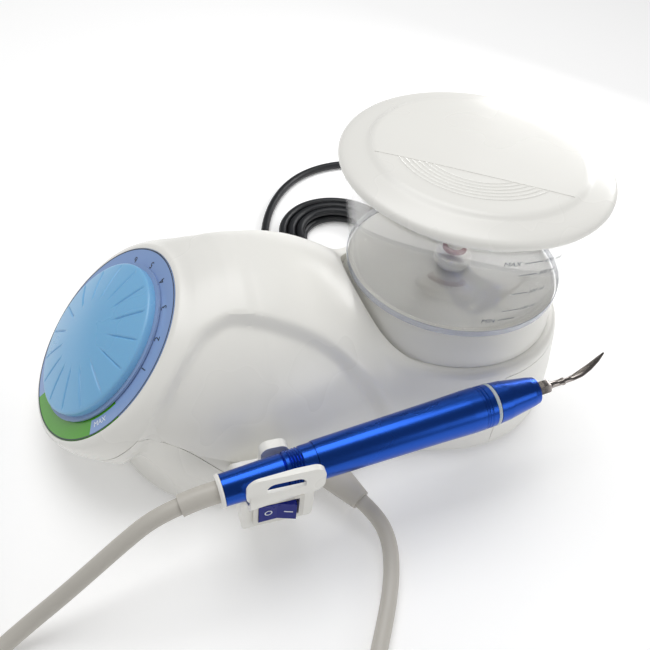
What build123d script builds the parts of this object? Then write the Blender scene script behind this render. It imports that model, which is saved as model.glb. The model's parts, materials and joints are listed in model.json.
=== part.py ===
# An ultrasonic dental scaler: a moulded table-top unit with a tilted power dial, a lift-off
# water tank, a switch bracket that also holds the handpiece, and a hose and mains lead.
# Everything is modelled about the water tank's upright axis, with the dial towards -X and
# the handpiece towards -Y, and is then moved so that the origin is the middle of the base.
import os
from math import atan2, cos, degrees, hypot, pi, radians, sin, sqrt, tan

from build123d import *

# Driving dimensions, in millimetres

FLOOR_GAP = 1.5             # the mouldings stand this far off the floor, on the feet
WALL = 2.6                  # wall of the housing mouldings
SEAM_GAP = 0.25             # half of the gap along a seam between mouldings
BELOW_FLOOR = 5.0           # shapes that are cut off at the bottom start this far below
FACE_WALL = 5.0             # depth of the thick wall behind the dial

# Head and hump: ovals on planes that fan out from a pivot line above the middle
PIVOT_X = -100.0
PIVOT_Z = 116.8
FACE_TILT = 45.3            # the dial face leans back by this angle
AXIS_Z = 23.8               # height of the widest line of the hump
KEEL = 33.0                 # depth of the ovals below that line
# tilt of the plane, then top, middle and bottom below the pivot, then half width
HEAD_OVALS = [
    (45.3, 44.7, 91.7, 138.7, 47.0),
    (43.5, 43.0, 91.4, 139.8, 50.2),
    (38.0, 37.6, 90.4, 134.0, 54.6),
    (30.0, 32.8, 89.2, 123.0, 59.0),
    (20.0, 29.6, 89.5, 121.0, 62.6),
    (10.0, 28.6, 91.0, 123.0, 64.8),
    (0.0, 29.0, 93.0, 126.0, 65.8),
]
# distance along X, then height of the top and half width
HUMP_OVALS = [
    (-80.0, 83.4, 63.0),
    (-60.0, 74.6, 58.0),
    (-45.0, 63.0, 55.0),
    (-30.0, 49.0, 53.5),
    (-12.0, 30.0, 50.5),
]
LEAST_RISE = 1.5            # an inner copy of the last oval keeps this much height

# Round rear body under the tank
REAR_RADII = [(0.0, 61.3), (20.0, 60.6), (35.0, 58.8), (45.0, 57.2), (50.0, 56.0)]
PLATFORM_Z = 50.0
PLATFORM_EDGE = 3.5
RECESS_RADIUS = 53.2        # the hump is cut away round the tank to this radius

# Foot of the housing
FOOT_TOP = 30.0
FOOT_EDGE = 12.0
FOOT_INSET = 0.8
FOOT_NOSE_X = -112.0
FOOT_NOSE = 56.0            # how far the rounded front of the foot reaches
FOOT_NOSE_HALF = 65.6
FOOT_FULLNESS = 2.2         # power of the rounded front's outline, 2 is an ellipse
FOOT_SIDE = [(-12.0, 50.5), (-45.0, 55.0), (-60.0, 58.0), (-80.0, 63.0), (-100.0, 65.4)]

# Scooped flank: below this curve the hump is set back, distance along X then height
SCOOP_DEPTH = 4.75
SCOOP = [(-186.0, -66.0), (-170.0, -30.0), (-158.0, -6.0), (-149.0, 12.0), (-137.0, 35.5),
         (-125.0, 51.5), (-113.0, 57.0), (-101.0, 53.5), (-89.0, 46.5), (-78.5, 38.2),
         (-68.0, 26.7), (-59.7, 12.9), (-51.5, -2.0), (-46.0, -16.6), (-40.0, -38.0)]
SCOOP_REACH = 150.0

# Seams
SEAM_CORNER = (-158.2, 46.6)    # where the lower seam starts, beside the dial
SEAM_END_X = -87.0              # where it reaches the bottom
HEAD_SEAM_TILT = 39.4           # the base moulding ends on this plane of the fan
COVER_X = 7.5                   # front edge of the rear cover
COVER_Z = 45.0                  # top edge of the rear cover

# Dial
DIAL_DROP = 91.7            # dial centre below the pivot, along the face
RING_RADIUS = 45.45
RING_BORE = 36.9
RING_THICK = 2.4
RING_SEAT = 2.2
RING_CLEARANCE = 0.1
RING_LEDGE = 3.0
GREEN_FROM = -92.0          # the green sector of the ring, from the right-hand level line
GREEN_TO = 3.0
KNOB_RADIUS = 35.6
KNOB_RIM = 5.1              # height of the knob's edge over the face
KNOB_DOME = 5.0             # rise of the dome over the edge
KNOB_WALL = 2.2
KNOB_GAP = 0.6              # under the knob's skirt
SKIRT_OUTER = 37.6
SKIRT_THICK = 1.0
HUB_RADIUS = 7.0
SHAFT_RADIUS = 3.0
SHAFT_RUNNING = 0.05        # radial clearance of a running fit
BUSH_RADIUS = 4.5
CONTROL_RADIUS = 12.0
CONTROL_DEPTH = 9.0
LED_BOARD_DEPTH = 4.2       # front of the lamp board behind the face
BOARD_THICK = 1.6
LED_COUNT = 12
BRACKET_DISC = 38.0
BRACKET_ARMS = (15, 90, 165)    # the head is too shallow for an arm at the bottom
LEG_RADIUS = 1.9
LEG_PITCH = 44.4

# Water tank
TANK_SEAT_GAP = 0.3         # tank drum over the platform
DRUM_FOOT_RADIUS = 52.0
DRUM_TOP_RADIUS = 50.0
DRUM_TOP_Z = 68.4
TANK_WALL = 2.5
BOWL_BASE_RADIUS = 50.24
BOWL_BASE_Z = 68.7
BOWL_MOUTH_RADIUS = 57.6
BOWL_MOUTH_Z = 123.3
BOWL_BAND = 3.0             # height of the thick clear band at the bowl's foot
LID_RADIUS = 60.0
LID_BASE_Z = 123.6
LID_EDGE = 2.9
LID_PLATEAU = 47.9
LID_RISE = 4.9
LID_WALL = 2.4
LID_SKIRT_RADIUS = 53.7
LID_SKIRT_DEPTH = 5.5

# Tank valve
BOSS_RADIUS = 9.0
BOSS_BODY = 7.0
BOSS_TOP_Z = 74.5
VALVE_BORE = 4.3
STEM_RADIUS = 1.6
STEM_BORE = 2.4
SEAT_WALL = 2.5
PLUNGER_RADIUS = 4.0
PLUNGER_TOP_Z = 85.0
SEAL_RADIUS = 5.75
SEAL_THICK = 2.6
SEAL_LIFT = 2.4             # the seal stands open by this much while the tank is on
NIPPLE_TOP_Z = 61.0
NIPPLE_RADIUS = 3.8
SPRING_RADIUS = 3.6
SPRING_WALL = 0.9
PLUNGER_FOOT = 1.4

# Handpiece, along its own axis from the tail
TAIL = Vector(-130.0, -84.5, 46.6)
NOSE = Vector(15.0, -73.5, 55.6)
TAIL_RADIUS = 6.4
GROOVE_AT = 25.2
RIBS_FROM = 27.0
RIBS_TO = 33.0
RIB_COUNT = 5
SLEEVE_JOINT = 38.0
JOINT_RADIUS = 8.0
RING_FROM = 111.7
RING_TO = 118.6
GRIP_RADIUS = 9.4
NOSE_END = 140.0
NOSE_RADIUS = 5.95
SLEEVE_WALL = 1.3
PART_GAP = 0.2
HORN_RADIUS = 3.0
STACK_RADIUS = 5.4
TIP_BASE_RADIUS = 2.9
TIP_BASE_LENGTH = 7.0
COLLAR_THICK = 1.8
COLLAR_RADIUS = 6.9
BOOT_RADIUS = 4.4
BOOT_RUN = 7.5              # each of the boot's two straight runs, before it is rounded

# Switch bracket with the handpiece cradle
BRACKET_LEFT = -123.0
BRACKET_RIGHT = -93.0
BRACKET_FRONT = -87.0
BRACKET_BOTTOM = 19.0
BRACKET_WALL = 2.4
CRADLE_FLOOR = 39.9
NECK_HALF = 10.0
NECK_BOTTOM = 24.0
NECK_TOP = 30.0
WIRE_WAY = 1.8              # radius of the wires' hole through the neck
NECK_END = -55.0
CLIP_RIM = 4.0              # rim of the clip that holds the neck inside the wall
LIP_FRONT = -93.6
LIP_THICK = 2.5
LIP_TOP = 61.0
LIP_LEFT = -122.6
LIP_RIGHT = -91.6
LIP_BOTTOM = 46.5
WINDOW_LEFT = -114.8
WINDOW_RIGHT = -99.3
WINDOW_BOTTOM = 51.8
WINDOW_TOP = 57.0
WRAP_RADIUS = 10.7          # outside of the guard round the handpiece's axis
HOLLOW_BACK = -72.0
BRACKET_SHELF = -68.8       # behind this line the bracket's top falls towards the flank
BRACKET_FALL = 1.6
PRONG_FRONT = -73.0
PRONG_LEFT = -112.0
PRONG_RIGHT = -100.5
PRONG_TOP = 53.6
PRONG_THICK = 4.0
CRADLE_CLEAR = 0.6
LIFT_ROOM = 42.0
SWITCH_X = -108.0
SWITCH_Z = 30.0
SWITCH_WIDE = 21.0
SWITCH_HIGH = 15.0
SWITCH_FLANGE = 1.6
SWITCH_BODY_WIDE = 18.8
SWITCH_BODY_HIGH = 12.8
SWITCH_BODY_DEEP = 12.0
SWITCH_PIN = 3.5
SWITCH_FRAME = 2.0
ROCKER_SWING = 16.0
ROCKER_PIN = 0.8            # radius of the pins that the rocker turns on
PIN_CLEAR = 0.12

# Hose and mains lead
HOSE = 7.0
LEAD = 5.0
LAYER_GAP = 0.6
HOSE_COIL_CENTRE = (-165.0, -199.0)
HOSE_COIL_RADIUS = 45.5
HOSE_COIL_START = 195.0
HOSE_COIL_END = -29.4
HOSE_COIL_TURNS = 6
HOSE_COIL_PITCH = 7.5
LEAD_COIL_CENTRE = (-16.0, 107.0)
LEAD_COIL_RADIUS = 37.5
LEAD_COIL_START = 225.0
LEAD_COIL_END = -50.0
LEAD_COIL_TURNS = 6
LEAD_COIL_PITCH = 5.45
LEAD_STRAIGHT = 15.0        # straight run of the lead into and out of its coil
HOSE_STRAIGHT = 14.0        # the same for the hose
HOSE_RELIEF_ROOT = Vector(-81.4, -60.0, 15.2)
HOSE_RELIEF_END = Vector(-68.6, -82.5, 12.4)
HOSE_RELIEF_RADIUS = 7.4
HOSE_RELIEF_TIP = 4.6
MAINS_ANGLE = 62.0
MAINS_Z = 15.0
MAINS_RELIEF_LENGTH = 26.0
MAINS_RELIEF_RADIUS = 6.0
MAINS_RELIEF_TIP = 3.6
PLUG_HEADING = 75.0
PLUG_LONG = 36.0
PLUG_WIDE = 35.0
PLUG_REAR = 15.0
PLUG_HIGH = 14.0
PIN_RADIUS = 2.0
PIN_LONG = 19.0
PIN_SPACING = 18.6

# Base plate, feet and screws
PLATE_THICK = 2.5
PLATE_CLEAR = 0.35
FOOT_RADIUS = 7.0
FOOT_PLACES = [(-132.0, 30.0), (-132.0, -30.0), (34.0, 30.0), (34.0, -30.0)]
POST_RADIUS = 5.2
SCREW_RADIUS = 1.5
SCREW_HEAD = 2.9
SCREW_LONG = 12.0
BASE_POSTS = [(-130.0, 54.2), (-130.0, -54.2)]
HOUSING_POSTS = [(-66.0, 51.4), (-66.0, -51.4)]
COVER_POSTS = [(44.1, 30.9), (44.1, -30.9)]

# Inside parts
MAIN_BOARD = (-97.0, 0.0, 76.0, 62.0)       # middle x and y, length and width
BOARD_Z = 12.0
STANDOFF_RADIUS = 3.0
TRANSFORMER = (-35.0, 27.0, 40.0, 34.0, 32.0)   # middle x and y, length, width, height
SOLENOID = (26.0, 18.0, 20.0)
SPIGOT_RADIUS = 2.6
SPIGOT_LONG = 7.0
TUBE_WALL = 1.4
SOCKET_ANGLE = 5.0
SOCKET_Z = 22.0
SOCKET_BORE = 3.2
SOCKET_RADIUS = 6.5
SOCKET_DEEP = 12.0
SOCKET_FLANGE = 9.0

# The base's middle is the origin: the dial face reaches furthest forward at its lower edge
FACE_REACH = PIVOT_X - HEAD_OVALS[0][3] * sin(radians(FACE_TILT))
REAR_REACH = REAR_RADII[0][1]
BODY_SIDE = max(oval[4] for oval in HEAD_OVALS)
TANK_X = -(FACE_REACH + REAR_REACH) / 2
TANK_Y = -(LIP_FRONT + BODY_SIDE) / 2


# Small helpers

def save(part, node):
    """Write one node, moved from the tank's axis to the middle of the base."""
    export_step(Pos(TANK_X, TANK_Y, 0) * part, f"parts/{node}.step")


def group(parts):
    """Several separate solids in one node."""
    return Compound([solid for part in parts for solid in part.solids()])


def turned(points, plane=Plane.XZ, axis=Axis.Z):
    """A solid of revolution from corner points, radius then height."""
    return revolve(plane * make_face(Polyline(*points, close=True)), axis)


def rod(start, end, radius, end_radius=None):
    """A round bar, or a cone, between two points."""
    start = Vector(start)
    run = Vector(end) - start
    place = Plane(origin=start, z_dir=run)
    if end_radius is None or end_radius == radius:
        return place * extrude(Circle(radius), run.length)
    return place * Solid.make_cone(radius, end_radius, run.length)


def block(low, high):
    """A box between two opposite corners."""
    size = [b - a for a, b in zip(low, high)]
    middle = [(a + b) / 2 for a, b in zip(low, high)]
    return Pos(*middle) * Box(*size)


def fan_point(tilt, drop):
    angle = radians(tilt)
    return Vector(PIVOT_X - drop * sin(angle), 0, PIVOT_Z - drop * cos(angle))


# Housing body

def oval(plane, half_width, rise, drop):
    """Two half ellipses on one width: the upper one is taller than the lower."""
    upper = EllipticalCenterArc((0, 0), half_width, rise, 0, arc_size=180)
    lower = EllipticalCenterArc((0, 0), half_width, drop, 180, arc_size=180)
    return plane * make_face([upper, lower])


def hump(inset, first=0):
    """The head and hump, lofted through their ovals, smaller by the inset."""
    sections = []
    for tilt, top, middle, bottom, half_width in HEAD_OVALS[first:]:
        angle = radians(tilt)
        place = Plane(fan_point(tilt, middle), (0, 1, 0), (cos(angle), 0, -sin(angle)))
        sections.append(oval(place, half_width - inset, middle - top - inset,
                             bottom - middle - inset))
    for x, top, half_width in HUMP_OVALS:
        place = Plane((x, 0, AXIS_Z), (0, 1, 0), (1, 0, 0))
        rise = max(top - AXIS_Z - inset, LEAST_RISE)
        sections.append(oval(place, half_width - inset, rise, KEEL - inset))
    return loft(sections)


def scoop_cutter(side, inset):
    """Everything below the scoop's curve, on one side: the curve runs outwards and up."""
    points = [(x, z - inset) for x, z in SCOOP]
    curve = Spline(*points)
    low = -SCOOP_REACH
    fence = Polyline(points[-1], (points[-1][0], low), (points[0][0], low), points[0])
    face = Plane.XZ * make_face([curve, fence])
    return extrude(face, amount=SCOOP_REACH, dir=(0, side, 1))


def rear_body(inset):
    """The round body under the tank."""
    radii = [(r - inset, z) for z, r in REAR_RADII]
    outline = [(0, -BELOW_FLOOR), (radii[0][0], -BELOW_FLOOR)] + radii + [(0, PLATFORM_Z)]
    body = turned(outline)
    rim = body.edges().filter_by(GeomType.CIRCLE).group_by(Axis.Z)[-1]
    return fillet(rim, PLATFORM_EDGE)


def foot_outline(inset):
    """The foot's plan: sides that follow the hump, round a full front."""
    half = FOOT_NOSE_HALF - FOOT_INSET - inset
    reach = FOOT_NOSE - FOOT_INSET - inset
    power = 2 / FOOT_FULLNESS
    side = [(x, w - FOOT_INSET - inset) for x, w in FOOT_SIDE]
    nose = []
    for step in range(1, 16):
        angle = radians(90 - 11.25 * step)
        x = FOOT_NOSE_X - reach * abs(cos(angle)) ** power
        y = half * abs(sin(angle)) ** power * (1 if sin(angle) > 0 else -1)
        nose.append((x, y))
    points = side + nose + [(x, -y) for x, y in reversed(side)]
    return make_face([Spline(*points), Line(points[-1], points[0])])


def housing_foot(inset):
    """The low foot, with a round top edge made of stepped outlines."""
    shoulder = FOOT_TOP - inset - FOOT_EDGE
    straight = shoulder + BELOW_FLOOR
    sections = [Pos(0, 0, shoulder - straight * share) * foot_outline(inset)
                for share in (1.0, 0.6, 0.3, 0.12)]
    for angle in (0, 30, 55, 75, 90):
        rise = FOOT_EDGE * sin(radians(angle))
        back = FOOT_EDGE * (1 - cos(radians(angle)))
        sections.append(Pos(0, 0, shoulder + rise) * foot_outline(inset + back))
    return loft(sections)


def hull(inset, bottom=FLOOR_GAP):
    """The whole body as one solid, set in from the outer surface by the inset."""
    head = hump(inset)
    for side in (-1, 1):
        head = head - scoop_cutter(side, inset)
    body = rear_body(inset) + housing_foot(inset)
    body = body + hump(inset + SCOOP_DEPTH, first=1) + head
    return body - block((-400, -200, -200), (200, 200, bottom))


def seam_zone(profile, shrink=0.0):
    """A prism across the whole body over an XZ outline."""
    face = make_face(Polyline(*profile, close=True))
    if shrink:
        face = offset(face, amount=-shrink, kind=Kind.INTERSECTION)
    return extrude(Plane.XZ * face, amount=120, both=True)


def base_zone(shrink=0.0):
    low = fan_point(HEAD_SEAM_TILT, (PIVOT_Z + 20) / cos(radians(HEAD_SEAM_TILT)))
    profile = [SEAM_CORNER, (SEAM_END_X, 0), (SEAM_END_X, -20), (low.X, -20)]
    return seam_zone(profile, shrink)


def cover_zone(shrink=0.0):
    profile = [(COVER_X, -20), (COVER_X, COVER_Z), (120, COVER_Z), (120, -20)]
    return seam_zone(profile, shrink)


DIAL = Plane(fan_point(FACE_TILT, DIAL_DROP), (0, -1, 0),
             (-cos(radians(FACE_TILT)), 0, sin(radians(FACE_TILT))))


def housing_shell():
    """The hollow body, with the dial's seat, the tank's recess and its screw posts."""
    outer = hull(0)
    inner = hull(WALL, bottom=-BELOW_FLOOR)
    behind_face = DIAL * (Pos(0, 0, -FACE_WALL + 60) * Box(160, 160, 120))
    floor = Pos(0, 0, PLATFORM_Z - WALL) * extrude(Circle(RECESS_RADIUS + WALL), 60)
    inner = inner - behind_face - floor
    recess = Pos(0, 0, PLATFORM_Z) * extrude(Circle(RECESS_RADIUS), 60)
    shell = outer - inner - recess
    seat = Pos(0, 0, -RING_SEAT) * extrude(Circle(RING_RADIUS + RING_CLEARANCE), 20)
    bore = Pos(0, 0, -20) * extrude(Circle(RING_RADIUS - RING_LEDGE), 40)
    shell = shell - DIAL * seat - DIAL * bore
    return outer, shell


def posts(places, outer):
    """Screw posts that stand on the base plate and run into the wall beside them."""
    bottom = FLOOR_GAP + PLATE_THICK + SEAM_GAP
    pillars = []
    for x, y in places:
        pillar = Pos(x, y, bottom) * extrude(Circle(POST_RADIUS), SCREW_LONG + 2)
        hole = Pos(x, y, bottom) * extrude(Circle(SCREW_RADIUS + 0.05), SCREW_LONG)
        pillars.append((pillar & outer) - hole)
    return pillars


def holder_window(clear):
    return block((SWITCH_X - NECK_HALF - clear, -75, NECK_BOTTOM - clear),
                 (SWITCH_X + NECK_HALF + clear, -40, NECK_TOP + clear))


def mains_direction():
    return Vector(cos(radians(MAINS_ANGLE)), sin(radians(MAINS_ANGLE)), 0)


def socket_direction():
    return Vector(cos(radians(SOCKET_ANGLE)), sin(radians(SOCKET_ANGLE)), 0)


def housing_parts():
    outer, shell = housing_shell()
    lower = shell & base_zone(SEAM_GAP)
    cover = shell & cover_zone(SEAM_GAP)
    upper = shell - base_zone() - cover_zone()
    upper = upper - holder_window(SEAM_GAP)
    coupling_hole = Pos(0, 0, PLATFORM_Z - 20) * extrude(Circle(6.2), 40)
    upper = upper - coupling_hole
    relief_hole = rod(HOSE_RELIEF_ROOT - (HOSE_RELIEF_END - HOSE_RELIEF_ROOT),
                      HOSE_RELIEF_END, HOSE_RELIEF_RADIUS + SEAM_GAP)
    upper = upper - relief_hole
    lower = lower - relief_hole
    for post in posts(HOUSING_POSTS, outer):
        upper = upper + post
    for post in posts(BASE_POSTS, outer):
        lower = lower + post
    for post in posts(COVER_POSTS, outer):
        cover = cover + post
    mains = mains_direction()
    mains_hole = rod(mains * 40 + Vector(0, 0, MAINS_Z), mains * 80 + Vector(0, 0, MAINS_Z),
                     MAINS_RELIEF_RADIUS + SEAM_GAP)
    socket = socket_direction()
    socket_hole = rod(socket * 40 + Vector(0, 0, SOCKET_Z), socket * 80 + Vector(0, 0, SOCKET_Z),
                      SOCKET_RADIUS + 0.1)
    cover = cover - mains_hole - socket_hole
    save(largest(upper), "upper_housing")
    save(largest(lower), "base_shell")
    save(largest(cover), "rear_cover")
    return outer


def largest(part):
    """The main solid of a cut moulding, without any sliver that a cut leaves."""
    return sorted(part.solids(), key=lambda solid: solid.volume)[-1]


def base_parts():
    """The plate that closes the bottom, its feet and its screws."""
    top = FLOOR_GAP + PLATE_THICK
    inside = hull(WALL + PLATE_CLEAR, bottom=FLOOR_GAP)
    plate = inside & block((-260, -120, FLOOR_GAP), (120, 120, top))
    feet = []
    for x, y in FOOT_PLACES:
        pocket = Pos(x, y, 0) * extrude(Circle(FOOT_RADIUS + 0.1), FLOOR_GAP + 1)
        plate = plate - pocket
        foot = Pos(x, y, 0) * extrude(Circle(FOOT_RADIUS), FLOOR_GAP + 1)
        feet.append(fillet(foot.edges().group_by(Axis.Z)[0], 0.6))
    screws = []
    for x, y in BASE_POSTS + HOUSING_POSTS + COVER_POSTS:
        head_room = Pos(x, y, 0) * extrude(Circle(SCREW_HEAD + 0.1), FLOOR_GAP + 1.2)
        shank_room = Pos(x, y, 0) * extrude(Circle(SCREW_RADIUS + 0.1), 20)
        plate = plate - head_room - shank_room
        head = Pos(x, y, FLOOR_GAP) * extrude(Circle(SCREW_HEAD), 1.2)
        shank = Pos(x, y, FLOOR_GAP) * extrude(Circle(SCREW_RADIUS), SCREW_LONG)
        screws.append(head + shank)
    for x, y in standoff_places():
        plate = plate + Pos(x, y, top) * extrude(Circle(STANDOFF_RADIUS), BOARD_Z - top)
    save(plate, "base_plate")
    save(group(feet), "rubber_feet")
    save(group(screws), "base_screws")
    return inside


# Dial

def dial_parts():
    seat = -RING_SEAT
    ring = turned([(RING_BORE, seat), (RING_RADIUS, seat), (RING_RADIUS, seat + RING_THICK),
                   (RING_BORE, seat + RING_THICK)])
    reach = RING_RADIUS + 10
    span = GREEN_TO - GREEN_FROM
    start = radians(GREEN_FROM)
    corner = (reach * 1.5 * cos(start + radians(span / 2)),
              reach * 1.5 * sin(start + radians(span / 2)))
    first = (reach * cos(start), reach * sin(start))
    last = (reach * cos(start + radians(span)), reach * sin(start + radians(span)))
    wedge = Pos(0, 0, -20) * extrude(
        make_face(Polyline((0, 0), first, corner, last, close=True)), 40)
    save(DIAL * (ring & wedge), "scale_ring_green")
    save(DIAL * (ring - wedge), "scale_ring_blue")

    rim = KNOB_RIM
    top = rim + KNOB_DOME
    crown = (KNOB_RADIUS ** 2 + KNOB_DOME ** 2) / (2 * KNOB_DOME)
    mid = KNOB_RADIUS * 0.6
    mid_top = top - crown + sqrt(crown ** 2 - mid ** 2)
    outside = [Line((0, KNOB_GAP + 8), (0, top)),
               ThreePointArc((0, top), (mid, mid_top), (KNOB_RADIUS, rim)),
               Line((KNOB_RADIUS, rim), (KNOB_RADIUS, KNOB_GAP + SKIRT_THICK)),
               Line((KNOB_RADIUS, KNOB_GAP + SKIRT_THICK),
                    (KNOB_RADIUS - KNOB_WALL, KNOB_GAP + SKIRT_THICK)),
               Line((KNOB_RADIUS - KNOB_WALL, KNOB_GAP + SKIRT_THICK),
                    (KNOB_RADIUS - KNOB_WALL, rim - 1.0)),
               ThreePointArc((KNOB_RADIUS - KNOB_WALL, rim - 1.0),
                             (mid, mid_top - KNOB_WALL - 0.5), (HUB_RADIUS, top - KNOB_WALL - 0.3)),
               Line((HUB_RADIUS, top - KNOB_WALL - 0.3), (HUB_RADIUS, KNOB_GAP - 4)),
               Line((HUB_RADIUS, KNOB_GAP - 4), (0, KNOB_GAP - 4)),
               Line((0, KNOB_GAP - 4), (0, KNOB_GAP + 8))]
    knob = revolve(Plane.XZ * make_face(outside), Axis.Z)
    shaft_top = KNOB_GAP + 6
    knob = knob - Pos(0, 0, KNOB_GAP - 6) * extrude(Circle(SHAFT_RADIUS), shaft_top - KNOB_GAP + 6)
    save(DIAL * knob, "dial_knob")

    skirt = turned([(KNOB_RADIUS - KNOB_WALL, KNOB_GAP), (SKIRT_OUTER, KNOB_GAP),
                    (SKIRT_OUTER, KNOB_GAP + SKIRT_THICK),
                    (KNOB_RADIUS - KNOB_WALL, KNOB_GAP + SKIRT_THICK)])
    save(DIAL * skirt, "knob_skirt")

    board_front = -LED_BOARD_DEPTH - 0.8
    board_outer = RING_RADIUS - RING_LEDGE - 0.4
    board = turned([(BUSH_RADIUS + 12, board_front - BOARD_THICK),
                    (board_outer, board_front - BOARD_THICK),
                    (board_outer, board_front), (BUSH_RADIUS + 12, board_front)])
    lamps = []
    for index in range(LED_COUNT):
        angle = 360 / LED_COUNT * (index + 0.5)
        lamps.append(Rot(0, 0, angle) * Pos(39.5, 0, board_front + 0.8) * Box(3.2, 2.8, 1.6))
    save(DIAL * board, "dial_lamp_board")
    save(DIAL * group(lamps), "dial_lamps")

    plate_front = board_front - BOARD_THICK
    plate_back = plate_front - 3.0
    bush_hole = BUSH_RADIUS + SHAFT_RUNNING
    bracket = Pos(0, 0, plate_back) * extrude(Circle(BRACKET_DISC), plate_front - plate_back)
    for angle in BRACKET_ARMS:
        leg = Rot(0, 0, angle) * Pos(LEG_PITCH, 0, plate_back)
        arm = Rot(0, 0, angle) * Pos(LEG_PITCH / 2, 0, (plate_front + plate_back) / 2)
        bracket = bracket + arm * Box(LEG_PITCH, 2 * LEG_RADIUS, plate_front - plate_back)
        bracket = bracket + leg * extrude(Circle(LEG_RADIUS), -FACE_WALL - plate_back)
    bracket = bracket - Pos(0, 0, plate_back - 1) * extrude(Circle(bush_hole), 20)
    save(DIAL * bracket, "dial_bracket")

    control = Pos(0, 0, plate_back - CONTROL_DEPTH) * extrude(Circle(CONTROL_RADIUS), CONTROL_DEPTH)
    bush_top = KNOB_GAP - 4.4
    control = control + Pos(0, 0, plate_back - 1) * extrude(Circle(BUSH_RADIUS),
                                                            bush_top - plate_back + 1)
    shaft_bottom = plate_back - CONTROL_DEPTH + 2
    control = control - Pos(0, 0, shaft_bottom) * extrude(
        Circle(SHAFT_RADIUS + SHAFT_RUNNING), 40)
    shaft = Pos(0, 0, shaft_bottom + 0.1) * extrude(Circle(SHAFT_RADIUS),
                                                    shaft_top - shaft_bottom - 0.1)
    save(DIAL * control, "power_control")
    save(DIAL * shaft, "control_shaft")


# Water tank

def tank_parts():
    foot = PLATFORM_Z + TANK_SEAT_GAP
    deck = DRUM_TOP_Z - TANK_WALL
    drum = turned([(DRUM_FOOT_RADIUS - TANK_WALL, foot), (DRUM_FOOT_RADIUS, foot),
                   (DRUM_TOP_RADIUS, DRUM_TOP_Z), (BOSS_BODY + 0.05, DRUM_TOP_Z),
                   (BOSS_BODY + 0.05, deck), (DRUM_TOP_RADIUS - TANK_WALL, deck)])
    save(drum, "tank_drum")

    floor_top = BOWL_BASE_Z + TANK_WALL
    slope = (BOWL_MOUTH_RADIUS - BOWL_BASE_RADIUS) / (BOWL_MOUTH_Z - BOWL_BASE_Z)
    shoulder = BOWL_BASE_RADIUS - 0.8 + slope * BOWL_BAND
    bowl = turned([(BOSS_BODY + 0.05, BOWL_BASE_Z), (BOWL_BASE_RADIUS, BOWL_BASE_Z),
                   (BOWL_BASE_RADIUS, BOWL_BASE_Z + BOWL_BAND),
                   (shoulder, BOWL_BASE_Z + BOWL_BAND + 0.6),
                   (BOWL_MOUTH_RADIUS, BOWL_MOUTH_Z),
                   (BOWL_MOUTH_RADIUS - TANK_WALL, BOWL_MOUTH_Z),
                   (BOWL_BASE_RADIUS - TANK_WALL, floor_top),
                   (BOSS_BODY + 0.05, floor_top)])
    save(bowl, "tank_bowl")

    inner = LID_WALL
    lid_top = LID_BASE_Z + LID_EDGE
    plateau = lid_top + LID_RISE
    lid = turned([(0, plateau - inner), (0, plateau), (LID_PLATEAU, plateau),
                  (LID_RADIUS - 1.4, lid_top), (LID_RADIUS, lid_top - 1.0),
                  (LID_RADIUS, LID_BASE_Z), (LID_SKIRT_RADIUS, LID_BASE_Z),
                  (LID_SKIRT_RADIUS - 0.3, LID_BASE_Z - LID_SKIRT_DEPTH),
                  (LID_SKIRT_RADIUS - 2.2, LID_BASE_Z - LID_SKIRT_DEPTH),
                  (LID_SKIRT_RADIUS - 2.2, LID_BASE_Z), (LID_PLATEAU, plateau - inner)])
    save(lid, "tank_lid")
    return floor_top


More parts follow.
